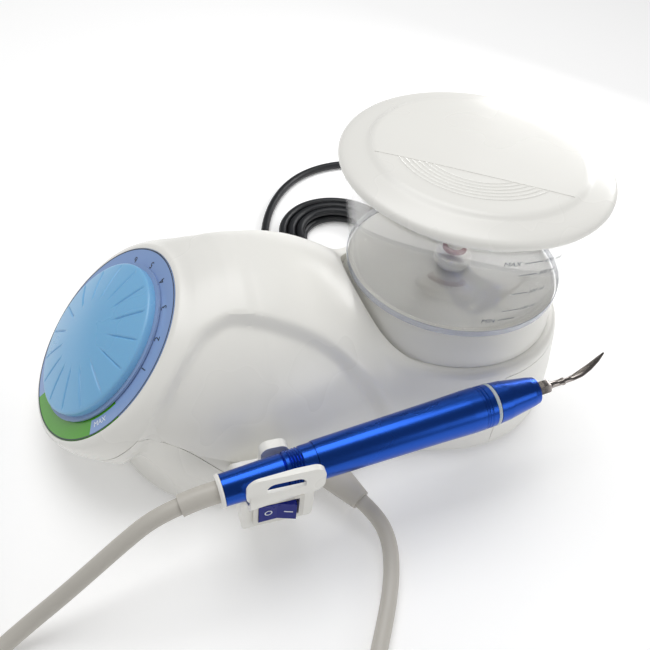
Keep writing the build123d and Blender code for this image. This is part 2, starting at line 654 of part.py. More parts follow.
def valve_parts(floor_top):
    """The tank's valve: the fixed boss, and the plunger that the nipple holds open."""
    seat_z = BOSS_TOP_Z - SEAT_WALL
    low = NIPPLE_TOP_Z - 5.5
    boss = turned([(VALVE_BORE, low), (BOSS_BODY, low), (BOSS_BODY, floor_top),
                   (BOSS_RADIUS, floor_top), (BOSS_RADIUS, BOSS_TOP_Z - 0.8),
                   (BOSS_RADIUS - 0.8, BOSS_TOP_Z), (STEM_BORE, BOSS_TOP_Z),
                   (STEM_BORE, seat_z), (VALVE_BORE, seat_z)])
    save(boss, "valve_boss")
    seal_low = BOSS_TOP_Z + SEAL_LIFT
    seal_top = seal_low + SEAL_THICK
    seal = turned([(STEM_RADIUS, seal_low), (SEAL_RADIUS - 0.7, seal_low),
                   (SEAL_RADIUS, seal_low + 0.7), (SEAL_RADIUS, seal_top - 0.5),
                   (SEAL_RADIUS - 0.5, seal_top), (STEM_RADIUS, seal_top)])
    save(seal, "valve_seal")
    foot_low = NIPPLE_TOP_Z + 0.05
    foot_top = foot_low + PLUNGER_FOOT
    plunger = turned([(0, foot_low), (SPRING_RADIUS, foot_low), (SPRING_RADIUS, foot_top),
                      (STEM_RADIUS, foot_top), (STEM_RADIUS, seal_top),
                      (PLUNGER_RADIUS, seal_top), (PLUNGER_RADIUS, PLUNGER_TOP_Z - 0.6),
                      (PLUNGER_RADIUS - 0.6, PLUNGER_TOP_Z), (0, PLUNGER_TOP_Z)])
    save(plunger, "valve_plunger")
    spring = turned([(SPRING_RADIUS - SPRING_WALL, foot_top + 0.05), (SPRING_RADIUS, foot_top + 0.05),
                     (SPRING_RADIUS, seat_z - 0.05), (SPRING_RADIUS - SPRING_WALL, seat_z - 0.05)])
    save(spring, "valve_spring")

    bottom = PLATFORM_Z - WALL
    groove = NIPPLE_TOP_Z - 3.2
    nipple = turned([(1.5, bottom - 10), (SPIGOT_RADIUS, bottom - 10),
                     (SPIGOT_RADIUS, bottom - 3), (8.5, bottom - 3),
                     (8.5, bottom), (6.0, bottom), (6.0, PLATFORM_Z), (NIPPLE_RADIUS, PLATFORM_Z),
                     (NIPPLE_RADIUS, groove), (NIPPLE_RADIUS - 0.9, groove),
                     (NIPPLE_RADIUS - 0.9, groove + 1.6), (NIPPLE_RADIUS, groove + 1.6),
                     (NIPPLE_RADIUS, NIPPLE_TOP_Z - 0.5), (NIPPLE_RADIUS - 0.5, NIPPLE_TOP_Z),
                     (1.5, NIPPLE_TOP_Z)])
    save(nipple, "tank_coupling")
    ring = turned([(NIPPLE_RADIUS - 0.85, groove + 0.1), (VALVE_BORE - 0.08, groove + 0.1),
                   (VALVE_BORE - 0.08, groove + 1.5), (NIPPLE_RADIUS - 0.85, groove + 1.5)])
    save(ring, "coupling_seal")


# Handpiece

def handpiece_plane():
    return Plane(origin=TAIL, x_dir=(0, 0, 1), z_dir=NOSE - TAIL)


def sleeve(outline, wall=SLEEVE_WALL):
    """A turned sleeve on the handpiece's axis, from radius and distance pairs."""
    inside = [(r - wall, s) for r, s in reversed(outline)]
    return turned(list(outline) + inside)


def handpiece_parts():
    place = handpiece_plane()
    rib = (RIBS_TO - RIBS_FROM) / (2 * RIB_COUNT)
    rear = [(TAIL_RADIUS, 0), (TAIL_RADIUS + 0.7, GROOVE_AT - 0.6),
            (TAIL_RADIUS + 0.2, GROOVE_AT), (TAIL_RADIUS + 0.9, GROOVE_AT + 0.6),
            (TAIL_RADIUS + 1.2, RIBS_FROM)]
    for index in range(RIB_COUNT):
        at = RIBS_FROM + 2 * rib * index
        rear.append((TAIL_RADIUS + 0.7, at + rib * 0.5))
        rear.append((TAIL_RADIUS + 1.2, at + rib * 1.5))
    rear += [(TAIL_RADIUS + 1.25, RIBS_TO + 0.5), (JOINT_RADIUS - 0.3, SLEEVE_JOINT - 0.6),
             (JOINT_RADIUS - 0.3, SLEEVE_JOINT)]
    save(place * sleeve(rear), "handpiece_rear_sleeve")

    main = [(JOINT_RADIUS, SLEEVE_JOINT + PART_GAP), (JOINT_RADIUS + 0.15, SLEEVE_JOINT + 1.4),
            (GRIP_RADIUS - 0.4, 92), (GRIP_RADIUS, 106), (GRIP_RADIUS, RING_FROM - PART_GAP)]
    save(place * sleeve(main), "handpiece_main_sleeve")
    light = [(GRIP_RADIUS - 0.1, RING_FROM), (GRIP_RADIUS - 0.25, RING_TO)]
    save(place * sleeve(light), "handpiece_light_ring")
    nose = [(GRIP_RADIUS - 0.3, RING_TO + PART_GAP), (GRIP_RADIUS - 0.8, RING_TO + 6),
            (GRIP_RADIUS - 1.8, RING_TO + 12), (NOSE_RADIUS + 0.7, NOSE_END - 3),
            (NOSE_RADIUS, NOSE_END)]
    inside = [(HORN_RADIUS + 0.1, NOSE_END), (HORN_RADIUS + 0.1, NOSE_END - 6),
              (STACK_RADIUS, NOSE_END - 12), (GRIP_RADIUS - 2, RING_TO + PART_GAP)]
    save(place * turned(nose + inside), "handpiece_nose")

    stack = turned([(0, 44), (STACK_RADIUS + 1.0, 44), (STACK_RADIUS + 1.0, 58), (STACK_RADIUS, 58),
                    (STACK_RADIUS, 104), (HORN_RADIUS, 124), (HORN_RADIUS, NOSE_END + 0.4),
                    (0, NOSE_END + 0.4)])
    save(place * stack, "ultrasonic_transducer")
    plug = turned([(0, 0.4), (TAIL_RADIUS - SLEEVE_WALL, 0.4), (TAIL_RADIUS - SLEEVE_WALL, 30),
                   (4.2, 30), (4.2, 43.8), (0, 43.8)])
    save(place * plug, "handpiece_connector")

    collar = turned([(0, -COLLAR_THICK), (COLLAR_RADIUS - 0.5, -COLLAR_THICK),
                     (COLLAR_RADIUS, -COLLAR_THICK / 2), (COLLAR_RADIUS - 0.2, -PART_GAP),
                     (0, -PART_GAP)])
    save(place * collar, "hose_collar")
    save(hose_boot(), "hose_boot")
    save(scaler_tip(place), "scaler_tip")


def boot_path():
    """The boot's bent centre line: out of the collar, then down with the hose."""
    back = (TAIL - NOSE).normalized()
    start = TAIL + back * COLLAR_THICK
    corner = start + back * BOOT_RUN
    return start, corner, corner + (HOSE_ROUTE[0] - corner).normalized() * BOOT_RUN


def hose_boot():
    start, corner, end = boot_path()
    run = min((corner - start).length, (end - corner).length)
    turn = radians((corner - start).get_angle(end - corner))
    path = FilletPolyline(start, corner, end, radius=0.45 * run / tan(turn / 2))
    return sweep(Plane(origin=start, z_dir=corner - start) * Circle(BOOT_RADIUS), path=path)


def scaler_tip(place):
    """The steel tip: a hexagonal base, a shank and a curved flat end."""
    start = NOSE_END + 0.5
    base_end = start + TIP_BASE_LENGTH
    body = turned([(0, start), (TIP_BASE_RADIUS, start), (TIP_BASE_RADIUS, base_end),
                   (1.5, base_end + 2.5), (1.25, base_end + 9.5), (0, base_end + 9.5)])
    for side in (-1, 1):
        flat = block((side * 2.2 if side > 0 else -6, -6, start + 1.5),
                     (6 if side > 0 else side * 2.2, 6, base_end - 1.5))
        body = body - flat
    joint = base_end + 9.5
    # distance along, rise, half width and half thickness of the curved end
    curve = [(0.0, 0.0, 1.25, 1.25), (4.0, 0.3, 1.15, 0.95), (8.0, 1.6, 1.0, 0.75),
             (12.0, 4.2, 0.8, 0.55), (15.5, 8.2, 0.5, 0.4)]
    sections = []
    for index, (along, rise, wide, thick) in enumerate(curve):
        before = curve[max(index - 1, 0)]
        after = curve[min(index + 1, len(curve) - 1)]
        lean = degrees(atan2(after[1] - before[1], after[0] - before[0])) if index else 0
        spot = Pos(rise, 0, joint + along) * Rot(0, lean, 0)
        sections.append(spot * Ellipse(thick, wide))
    return place * (body + loft(sections))


# Bracket, switch and strain reliefs

def way_up(radius):
    """The room over the cradle that the handpiece is lifted through."""
    along = (NOSE - TAIL).normalized()
    side = along.cross(Vector(0, 0, 1)).normalized()
    flat = Plane(origin=TAIL, x_dir=along, z_dir=along.cross(side))
    return extrude(flat * Pos(25, 0) * Rectangle(90, 2 * radius), LIFT_ROOM, dir=(0, 0, 1))


def bracket_parts(outer, inside):
    left, right, front = BRACKET_LEFT, BRACKET_RIGHT, BRACKET_FRONT
    back = -56.0
    box = block((left, front, BRACKET_BOTTOM), (right, back, CRADLE_FLOOR))
    box = fillet(box.edges().filter_by(Axis.Y), 2.0)
    # behind the handpiece the top of the bracket falls away to the flank
    fall = Polyline((BRACKET_SHELF, CRADLE_FLOOR), (BRACKET_SHELF, 60), (back, 60),
                    (back, CRADLE_FLOOR - (back - BRACKET_SHELF) * BRACKET_FALL), close=True)
    box = box - Pos(-200, 0, 0) * extrude(Plane.YZ * make_face(fall), 200)
    hollow = block((left + BRACKET_WALL, front + BRACKET_WALL, BRACKET_BOTTOM + BRACKET_WALL),
                   (right - BRACKET_WALL, HOLLOW_BACK, CRADLE_FLOOR - 2.0))
    outline = Plane.XZ * Pos((LIP_LEFT + LIP_RIGHT) / 2, (LIP_TOP + LIP_BOTTOM) / 2) * \
        RectangleRounded(LIP_RIGHT - LIP_LEFT, LIP_TOP - LIP_BOTTOM, 5.0)
    lip = Pos(0, LIP_FRONT + LIP_THICK, 0) * extrude(outline, LIP_THICK)
    window = block((WINDOW_LEFT, LIP_FRONT - 5, WINDOW_BOTTOM),
                   (WINDOW_RIGHT, LIP_FRONT + 8, WINDOW_TOP))
    window = fillet(window.edges().filter_by(Axis.Y).group_by(Axis.Z)[-1], 3.5)
    # the guard wraps round the handpiece from under it to the lip
    wrap = block((LIP_LEFT + 1.5, LIP_FRONT - 1, SWITCH_Z + SWITCH_HIGH / 2 + 0.1),
                 (right, front + 4, (LIP_BOTTOM + LIP_TOP) / 2))
    wrap = wrap & handpiece_plane() * (Pos(0, 0, -20) * extrude(Circle(WRAP_RADIUS), 90))
    prong = block((PRONG_LEFT, PRONG_FRONT, CRADLE_FLOOR - 1),
                  (PRONG_RIGHT, PRONG_FRONT + PRONG_THICK, PRONG_TOP))
    prong = fillet(prong.edges().filter_by(Axis.Y).group_by(Axis.Z)[-1], 4.0)
    holder = box + ((lip + wrap) - window) + prong
    track = handpiece_plane() * (Pos(0, 0, -20) * extrude(Circle(JOINT_RADIUS + CRADLE_CLEAR), 90))
    holder = holder - track - way_up(JOINT_RADIUS + CRADLE_CLEAR)
    holder = holder - hollow
    holder = holder - outer
    neck = holder_window(0) & block((-400, HOLLOW_BACK, 0), (100, NECK_END, 100))
    holder = holder + neck
    switch_room = block((SWITCH_X - SWITCH_BODY_WIDE / 2 - 0.1, front - 5,
                         SWITCH_Z - SWITCH_BODY_HIGH / 2 - 0.1),
                        (SWITCH_X + SWITCH_BODY_WIDE / 2 + 0.1,
                         front + SWITCH_BODY_DEEP + SWITCH_PIN + 0.2,
                         SWITCH_Z + SWITCH_BODY_HIGH / 2 + 0.1))
    holder = holder - switch_room
    wire_z = (NECK_BOTTOM + NECK_TOP) / 2
    wire_way = rod((SWITCH_X, front + 8, wire_z), (SWITCH_X, -40, wire_z), WIRE_WAY)
    holder = largest(holder - wire_way)
    save(holder, "handpiece_holder")

    clip = block((SWITCH_X - NECK_HALF - CLIP_RIM, -80, NECK_BOTTOM - CLIP_RIM),
                 (SWITCH_X + NECK_HALF + CLIP_RIM, NECK_END, NECK_TOP + CLIP_RIM))
    save(largest((clip & inside) - holder_window(SEAM_GAP)), "holder_clip")

    flange_front = front - SWITCH_FLANGE
    frame = block((SWITCH_X - SWITCH_WIDE / 2, flange_front, SWITCH_Z - SWITCH_HIGH / 2),
                  (SWITCH_X + SWITCH_WIDE / 2, front, SWITCH_Z + SWITCH_HIGH / 2))
    frame = fillet(frame.edges().filter_by(Axis.Y), 0.8)
    body = block((SWITCH_X - SWITCH_BODY_WIDE / 2, front, SWITCH_Z - SWITCH_BODY_HIGH / 2),
                 (SWITCH_X + SWITCH_BODY_WIDE / 2, front + SWITCH_BODY_DEEP,
                  SWITCH_Z + SWITCH_BODY_HIGH / 2))
    well = block((SWITCH_X - SWITCH_WIDE / 2 + SWITCH_FRAME, flange_front - 1,
                  SWITCH_Z - SWITCH_HIGH / 2 + SWITCH_FRAME),
                 (SWITCH_X + SWITCH_WIDE / 2 - SWITCH_FRAME, front + 8,
                  SWITCH_Z + SWITCH_HIGH / 2 - SWITCH_FRAME))
    pins = [block((SWITCH_X + x - 2.4, front + SWITCH_BODY_DEEP, SWITCH_Z - 0.4),
                  (SWITCH_X + x + 2.4, front + SWITCH_BODY_DEEP + SWITCH_PIN, SWITCH_Z + 0.4))
            for x in (-5, 5)]
    bearing = rod((SWITCH_X, ROCKER_PIVOT_Y, SWITCH_Z - SWITCH_BODY_HIGH / 2 - 1),
                  (SWITCH_X, ROCKER_PIVOT_Y, SWITCH_Z + SWITCH_BODY_HIGH / 2 + 1),
                  ROCKER_PIN + PIN_CLEAR)
    save(frame + body - well - bearing + pins[0] + pins[1], "switch_body")
    save(rocker(flange_front), "switch_rocker")


ROCKER_PIVOT_Y = BRACKET_FRONT + 3.2


def rocker(flange_front):
    """The rocker with its O side pressed in: two faces that meet over the pivot."""
    half = SWITCH_WIDE / 2 - SWITCH_FRAME - 0.7
    rest = radians(ROCKER_SWING / 2)
    high = SWITCH_HIGH / 2 - SWITCH_FRAME - 0.25
    ridge = SWITCH_FLANGE + 3.2 + 0.2
    out = ridge + half * tan(rest) * 1.2
    profile = Polyline((-half * 0.93, 1.0), (-half * 0.98, out), (0, ridge), (half * 0.98, out),
                       (half * 0.93, 1.0), (0, -2.2), close=True)
    body = extrude(make_face(profile), high, both=True)
    body = body + extrude(Circle(ROCKER_PIN), SWITCH_BODY_HIGH / 2 - 0.2, both=True)
    # local X runs along the switch, local Y becomes outwards, local Z along the pivot
    stand = Plane(origin=(SWITCH_X, ROCKER_PIVOT_Y, SWITCH_Z), x_dir=(1, 0, 0), z_dir=(0, 0, 1))
    flip = stand * Rot(180, 0, 0)
    return flip * (Rot(0, 0, ROCKER_SWING / 2) * body)


def relief_parts():
    axis = (HOSE_RELIEF_END - HOSE_RELIEF_ROOT).normalized()
    inner_end = HOSE_RELIEF_ROOT - axis * 9
    relief = rod(inner_end, HOSE_RELIEF_ROOT + axis * 8, HOSE_RELIEF_RADIUS)
    relief = relief + rod(HOSE_RELIEF_ROOT + axis * 8, HOSE_RELIEF_END, HOSE_RELIEF_RADIUS,
                          HOSE_RELIEF_TIP)
    relief = relief + rod(inner_end - axis * 2, inner_end, HOSE_RELIEF_RADIUS + 1.4)
    save(relief, "hose_strain_relief")
    out = mains_direction()
    up = Vector(0, 0, MAINS_Z)
    wall = REAR_REACH
    mains = rod(out * (wall - 5) + up, out * (wall + 4) + up, MAINS_RELIEF_RADIUS)
    mains = mains + rod(out * (wall + 4) + up, out * (wall + MAINS_RELIEF_LENGTH) + up,
                        MAINS_RELIEF_RADIUS - 0.8, MAINS_RELIEF_TIP)
    mains = mains + rod(out * (wall - 8) + up, out * (wall - 5) + up, MAINS_RELIEF_RADIUS + 2.5)
    save(mains, "mains_strain_relief")


# Hose and lead

HOSE_ROUTE = [Vector(*p) for p in (
    (-156.2, -87.5, 43.2), (-168.1, -90.5, 36.2), (-180.2, -93.5, 27.6),
    (-193.0, -96.5, 18.4), (-206.8, -99.6, 9.4), (-219.5, -105.0, 4.4), (-228.6, -115.2, 3.6),
    (-232.0, -129.0, 3.5), (-229.6, -144.0, 3.5), (-225.2, -158.6, 3.5),
    (-220.4, -173.2, 3.5))]
UNIT_ROUTE = [Vector(*p) for p in (
    (-61.8, -101.4, 8.2), (-64.2, -112.2, 5.0), (-69.0, -122.8, 3.7), (-75.2, -133.4, 3.5),
    (-82.8, -145.4, 3.6), (-90.6, -158.8, 4.8), (-98.6, -173.0, 7.4), (-106.6, -188.0, 10.0))]
LEAD_ROUTE = [Vector(*p) for p in (
    (52.4, 97.0, 11.8), (60.2, 108.4, 7.4), (67.2, 120.5, 4.0), (71.8, 133.8, 2.6),
    (72.0, 148.2, 2.5), (67.2, 161.4, 2.5), (56.6, 174.0, 2.5), (42.0, 183.6, 2.5),
    (25.6, 189.2, 2.5), (9.0, 190.4, 2.5), (-7.4, 187.4, 2.5), (-23.0, 179.6, 2.5),
    (-37.0, 166.8, 2.5), (-48.6, 150.4, 2.5), (-57.4, 131.6, 2.5), (-62.2, 114.0, 2.5),
    (-61.6, 103.4, 2.5))]
PLUG_BEND = Vector(32.3, 104.3, 7.0)


def biarc(start, start_dir, end, end_dir):
    """Two tangent arcs from one point and direction to another."""
    gap = end - start
    spread = start_dir + end_dir
    a = 2 * (1 - start_dir.dot(end_dir))
    b = 2 * gap.dot(spread)
    c = -gap.dot(gap)
    reach = (-b + sqrt(b * b - 4 * a * c)) / (2 * a) if a > 1e-9 else -c / b
    joint = (start + start_dir * reach + end - end_dir * reach) * 0.5
    first = Edge.make_tangent_arc(start, start_dir, joint)
    second = Edge.make_tangent_arc(end, end_dir * -1, joint)
    return [first, second]


class Coil:
    """Turns that spiral in on the floor, climb one layer and spiral out again."""

    def __init__(self, centre, radius, start, end, turns, pitch, diameter):
        self.centre = centre
        self.radius = radius
        self.start = start
        self.total = (turns * 360 + (end - start) % 360)
        self.inward = (self.total - 180) / 2
        self.pitch = pitch
        self.low = diameter / 2
        self.high = diameter / 2 + diameter + LAYER_GAP
        self.diameter = diameter

    def point(self, angle):
        inner = self.radius - self.pitch * self.inward / 360
        if angle < self.inward:
            radius = self.radius - self.pitch * angle / 360
            height = self.low
        elif angle > self.inward + 180:
            radius = inner + self.pitch * (angle - self.inward - 180) / 360
            height = self.high
        else:
            share = (angle - self.inward) / 180
            radius = inner - self.pitch / (2 * pi) * sin(pi * share)
            height = self.low + (self.high - self.low) * share * share * (3 - 2 * share)
        around = radians(self.start + angle)
        return Vector(self.centre[0] + radius * cos(around),
                      self.centre[1] + radius * sin(around), height)

    def direction(self, angle):
        step = 0.5
        low = max(angle - step, 0)
        high = min(angle + step, self.total)
        return (self.point(high) - self.point(low)).normalized()

    def stations(self):
        """A biarc for each quarter turn or less."""
        count = 2 * round(self.inward / 180)
        inward = [self.inward * i / count for i in range(count)]
        climb = [self.inward, self.inward + 90]
        outward = [self.inward + 180 + self.inward * i / count for i in range(count + 1)]
        return inward + climb + outward

    def entry(self):
        return self.point(0) - self.direction(0) * self.diameter

    def outlet(self):
        return self.point(self.total) + self.direction(self.total) * self.diameter

    def edges(self):
        angles = self.stations()
        edges = [Edge.make_line(self.entry(), self.point(0))]
        for a, b in zip(angles, angles[1:]):
            edges += biarc(self.point(a), self.direction(a), self.point(b), self.direction(b))
        edges.append(Edge.make_line(self.point(self.total), self.outlet()))
        return edges

    def solid(self, name):
        path = Wire(self.edges())
        section = Plane(origin=self.entry(), z_dir=self.direction(0)) * Circle(self.diameter / 2)
        print(f"{name}: length {path.length:.0f} mm, least gap {self.least_gap():.2f} mm, "
              f"outside {2 * self.radius + self.diameter:.0f} mm")
        return sweep(section, path=path)

    def least_gap(self):
        """The smallest gap between turns, on points a few millimetres apart."""
        step = 6
        points = [self.point(a) for a in range(0, int(self.total) + 1, step)]
        skip = 180 // step
        gap = 1e9
        for i, first in enumerate(points):
            for second in points[i + skip:]:
                gap = min(gap, (first - second).length - self.diameter)
        return gap


def corner_radii(points, name, diameter):
    """Each arc as large as its two runs allow."""
    radii = []
    for before, at, after in zip(points, points[1:], points[2:]):
        run = min((at - before).length, (after - at).length)
        turn = radians((at - before).get_angle(after - at))
        radii.append(0.45 * run / tan(turn / 2))
    runs = [(b - a).length for a, b in zip(points, points[1:])]
    print(f"{name}: least radius {min(radii):.1f} mm or {min(radii) / diameter:.1f} diameters, "
          f"runs {min(runs):.0f} to {max(runs):.0f} mm")
    return radii


def tube(points, diameter, name):
    """A round tube of straight runs joined by arcs."""
    path = FilletPolyline(*points, radius=corner_radii(points, name, diameter))
    section = Plane(origin=points[0], z_dir=points[1] - points[0]) * Circle(diameter / 2)
    solid = sweep(section, path=path)
    expected = pi * diameter ** 2 / 4 * path.length
    print(f"{name}: length {path.length:.0f} mm, volume over section times length "
          f"{solid.volume / expected:.4f}")
    return solid


def hose_parts():
    coil = Coil(HOSE_COIL_CENTRE, HOSE_COIL_RADIUS, HOSE_COIL_START, HOSE_COIL_END,
                HOSE_COIL_TURNS, HOSE_COIL_PITCH, HOSE)
    entry = coil.entry()
    lead_in = entry - coil.direction(0) * HOSE_STRAIGHT
    route = [boot_path()[2]] + HOSE_ROUTE + [lead_in, entry]
    save(tube(route, HOSE, "handpiece side"), "hose_handpiece_side")
    save(coil.solid("hose coil"), "hose_coil")
    outlet = coil.outlet()
    lead_out = outlet + coil.direction(coil.total) * HOSE_STRAIGHT
    print("hose coil entry", entry, lead_in, "outlet", outlet, lead_out)
    square = HOSE_RELIEF_END + (HOSE_RELIEF_END - HOSE_RELIEF_ROOT).normalized() * 10
    route = [HOSE_RELIEF_END, square] + UNIT_ROUTE + [lead_out, outlet]
    save(tube(route, HOSE, "unit side"), "hose_unit_side")


def lead_parts():
    coil = Coil(LEAD_COIL_CENTRE, LEAD_COIL_RADIUS, LEAD_COIL_START, LEAD_COIL_END,
                LEAD_COIL_TURNS, LEAD_COIL_PITCH, LEAD)
    entry = coil.entry()
    lead_in = entry - coil.direction(0) * LEAD_STRAIGHT
    exit_at = mains_direction() * (REAR_REACH + MAINS_RELIEF_LENGTH) + Vector(0, 0, MAINS_Z)
    first = exit_at + mains_direction() * 10
    save(tube([exit_at, first] + LEAD_ROUTE + [lead_in, entry], LEAD, "mains lead"), "mains_lead")
    save(coil.solid("lead coil"), "mains_lead_coil")
    outlet = coil.outlet()
    lead_out = outlet + coil.direction(coil.total) * LEAD_STRAIGHT
    heading = Vector(cos(radians(PLUG_HEADING)), sin(radians(PLUG_HEADING)), 0)
    plug_entry = PLUG_BEND + heading * 14
    print("lead coil entry", entry, lead_in, "outlet", outlet, lead_out)
    save(tube([outlet, lead_out, PLUG_BEND, plug_entry], LEAD, "plug end"),
         "mains_lead_plug_end")
    place = Plane(origin=plug_entry, x_dir=heading, z_dir=(0, 0, 1))
    half = PLUG_WIDE / 2
    outline = make_face(Polyline((0, -PLUG_REAR / 2), (PLUG_LONG * 0.55, -half),
                                 (PLUG_LONG, -half), (PLUG_LONG, half),
                                 (PLUG_LONG * 0.55, half), (0, PLUG_REAR / 2), close=True))
    body = extrude(outline, PLUG_HIGH / 2, both=True)
    body = fillet(body.edges().filter_by(Axis.Z), 3.0)
    pins = []
    for side in (-1, 1):
        start = Vector(PLUG_LONG + 0.02, side * PIN_SPACING / 2, 0)
        pin = rod(start, start + Vector(PIN_LONG, 0, 0), PIN_RADIUS)
        pins.append(fillet(pin.edges().group_by(Axis.X)[-1], 1.0))
    save(place * body, "mains_plug")
    save(place * group(pins), "plug_pins")


# Inside parts

def standoff_places():
    x, y, length, width = MAIN_BOARD
    return [(x + sx * (length / 2 - 5), y + sy * (width / 2 - 5)) for sx in (-1, 1) for sy in (-1, 1)]


def inside_parts():
    x, y, length, width = MAIN_BOARD
    board = Pos(x, y, BOARD_Z + BOARD_THICK / 2) * Box(length, width, BOARD_THICK)
    save(board, "main_board")
    top = BOARD_Z + BOARD_THICK
    pieces = [block((x - 30, y - 22, top), (x - 12, y - 10, top + 14)),
              block((x + 4, y - 24, top), (x + 34, y - 6, top + 22)),
              block((x - 34, y + 6, top), (x - 16, y + 20, top + 10))]
    for index in range(3):
        pieces.append(Pos(x - 4 + 13 * index, y + 16, top) * extrude(Circle(5), 16))
    save(group(pieces), "board_components")
    tx, ty, tl, tw, th = TRANSFORMER
    floor = FLOOR_GAP + PLATE_THICK
    core = block((tx - tl / 2, ty - tw / 2, floor), (tx + tl / 2, ty + tw / 2, floor + th))
    core = fillet(core.edges().filter_by(Axis.Z), 3.0)
    save(core, "power_transformer")
    length, width, height = SOLENOID
    top = floor + height
    valve = block((-length / 2, -width / 2, floor), (length / 2, width / 2, top))
    valve = valve + rod((0, 0, top), (0, 0, top + SPIGOT_LONG), SPIGOT_RADIUS)
    save(valve, "water_valve")
    outer = SPIGOT_RADIUS + TUBE_WALL
    tube_top = PLATFORM_Z - WALL - 3.2
    supply = turned([(SPIGOT_RADIUS, top + 0.2), (outer, top + 0.2), (outer, tube_top),
                     (SPIGOT_RADIUS, tube_top)])
    save(supply, "supply_tube")
    out = socket_direction()
    wall = REAR_REACH
    at = Vector(0, 0, SOCKET_Z)
    socket = rod(out * (wall - SOCKET_DEEP) + at, out * (wall - 0.4) + at, SOCKET_RADIUS)
    socket = socket + rod(out * (wall - 0.4) + at, out * (wall + 1.2) + at, SOCKET_FLANGE)
    socket = socket - rod(out * (wall - SOCKET_DEEP + 2) + at, out * (wall + 5) + at, SOCKET_BORE)
    save(socket, "foot_switch_socket")


os.makedirs("parts", exist_ok=True)
body = housing_parts()
inside = base_parts()
dial_parts()
valve_parts(tank_parts())
handpiece_parts()
bracket_parts(body, inside)
relief_parts()
hose_parts()
lead_parts()
inside_parts()
print(f"tank axis at {TANK_X:.2f}, {TANK_Y:.2f} from the origin")
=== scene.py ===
"""Visual scene of an ultrasonic dental scaler: materials, markings, cords, lights and camera.

Lengths of the object are written in millimetres from the tank's axis, as in the CAD, and turned
into metres of the shared frame by at(). Angles are in degrees unless a name says otherwise.
"""
import json
from math import acos, atan2, cos, degrees, hypot, pi, radians, sin, sqrt

import bmesh
import bpy
import numpy as np
from mathutils import Matrix, Vector


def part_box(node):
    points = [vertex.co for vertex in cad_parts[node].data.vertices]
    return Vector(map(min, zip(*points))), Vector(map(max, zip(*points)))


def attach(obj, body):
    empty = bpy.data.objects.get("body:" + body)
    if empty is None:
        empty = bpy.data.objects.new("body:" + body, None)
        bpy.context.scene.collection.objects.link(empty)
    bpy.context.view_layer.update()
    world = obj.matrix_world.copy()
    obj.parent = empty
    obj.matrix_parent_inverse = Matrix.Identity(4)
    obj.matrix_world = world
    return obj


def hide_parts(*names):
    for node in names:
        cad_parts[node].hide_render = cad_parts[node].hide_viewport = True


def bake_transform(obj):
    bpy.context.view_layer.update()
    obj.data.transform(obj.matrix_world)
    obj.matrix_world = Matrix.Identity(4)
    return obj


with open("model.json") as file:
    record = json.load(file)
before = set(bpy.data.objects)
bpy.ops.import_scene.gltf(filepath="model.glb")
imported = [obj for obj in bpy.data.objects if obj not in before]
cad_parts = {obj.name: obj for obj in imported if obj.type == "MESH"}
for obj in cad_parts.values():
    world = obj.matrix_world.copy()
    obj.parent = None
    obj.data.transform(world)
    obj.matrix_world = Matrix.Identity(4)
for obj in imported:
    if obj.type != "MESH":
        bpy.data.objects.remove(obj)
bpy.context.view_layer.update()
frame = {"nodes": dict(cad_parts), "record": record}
MM = 0.001

lid_low, lid_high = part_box("tank_lid")
TANK_AXIS = (lid_low + lid_high) / 2


def at(x, y, z):
    """A point in the tank axis's millimetres, as metres in the shared frame."""
    return Vector((TANK_AXIS.x + x * MM, TANK_AXIS.y + y * MM, z * MM))


def eased(share):
    """A share from 0 to 1 that starts and ends gently."""
    return share * share * (3 - 2 * share)


def linked(name, data):
    """A new object at the origin, linked into the scene."""
    obj = bpy.data.objects.new(name, data)
    bpy.context.scene.collection.objects.link(obj)
    return obj


# Camera, fitted to the photograph's ellipses and outlines

CAMERA_PLACE = Vector((-0.09109, -0.22993, 0.29482))
CAMERA_RIGHT = Vector((0.95100694, -0.29840595, 0.08086837))
CAMERA_UP = Vector((0.15413453, 0.68435499, 0.71267159))
CAMERA_FORWARD = Vector((0.26800811, 0.66529101, -0.69682101))
SENSOR = 36.0
FOCAL_PIXELS = 750.0
FRAME_PIXELS = 650.0

camera_data = bpy.data.cameras.new("camera")
camera_data.sensor_width = SENSOR
camera_data.lens = SENSOR * FOCAL_PIXELS / FRAME_PIXELS
camera_data.clip_start = 0.01
camera = linked("camera", camera_data)
camera_axes = Matrix((CAMERA_RIGHT, CAMERA_UP, -CAMERA_FORWARD)).transposed()
camera.matrix_world = Matrix.Translation(CAMERA_PLACE) @ camera_axes.to_4x4()
bpy.context.scene.camera = camera


# Materials

NOISE_RANGE = (0.3, 0.7)  # nearly all of a noise texture's values lie between these


def colour(text):
    """An sRGB hex colour as the linear value that a shader takes."""
    parts = [int(text[i:i + 2], 16) / 255 for i in (1, 3, 5)]
    return tuple(c / 12.92 if c <= 0.04045 else ((c + 0.055) / 1.055) ** 2.4 for c in parts) + (1,)


def add(tree, kind, sockets=None, **settings):
    """A shader node with its settings; a socket's value may be another node's output.

    A socket is given by its name, or by its number where a node has several of one name."""
    node = tree.nodes.new(kind)
    for name, value in settings.items():
        setattr(node, name, value)
    for name, value in (sockets or {}).items():
        if isinstance(value, bpy.types.NodeSocket):
            tree.links.new(value, node.inputs[name])
        else:
            node.inputs[name].default_value = value
    return node


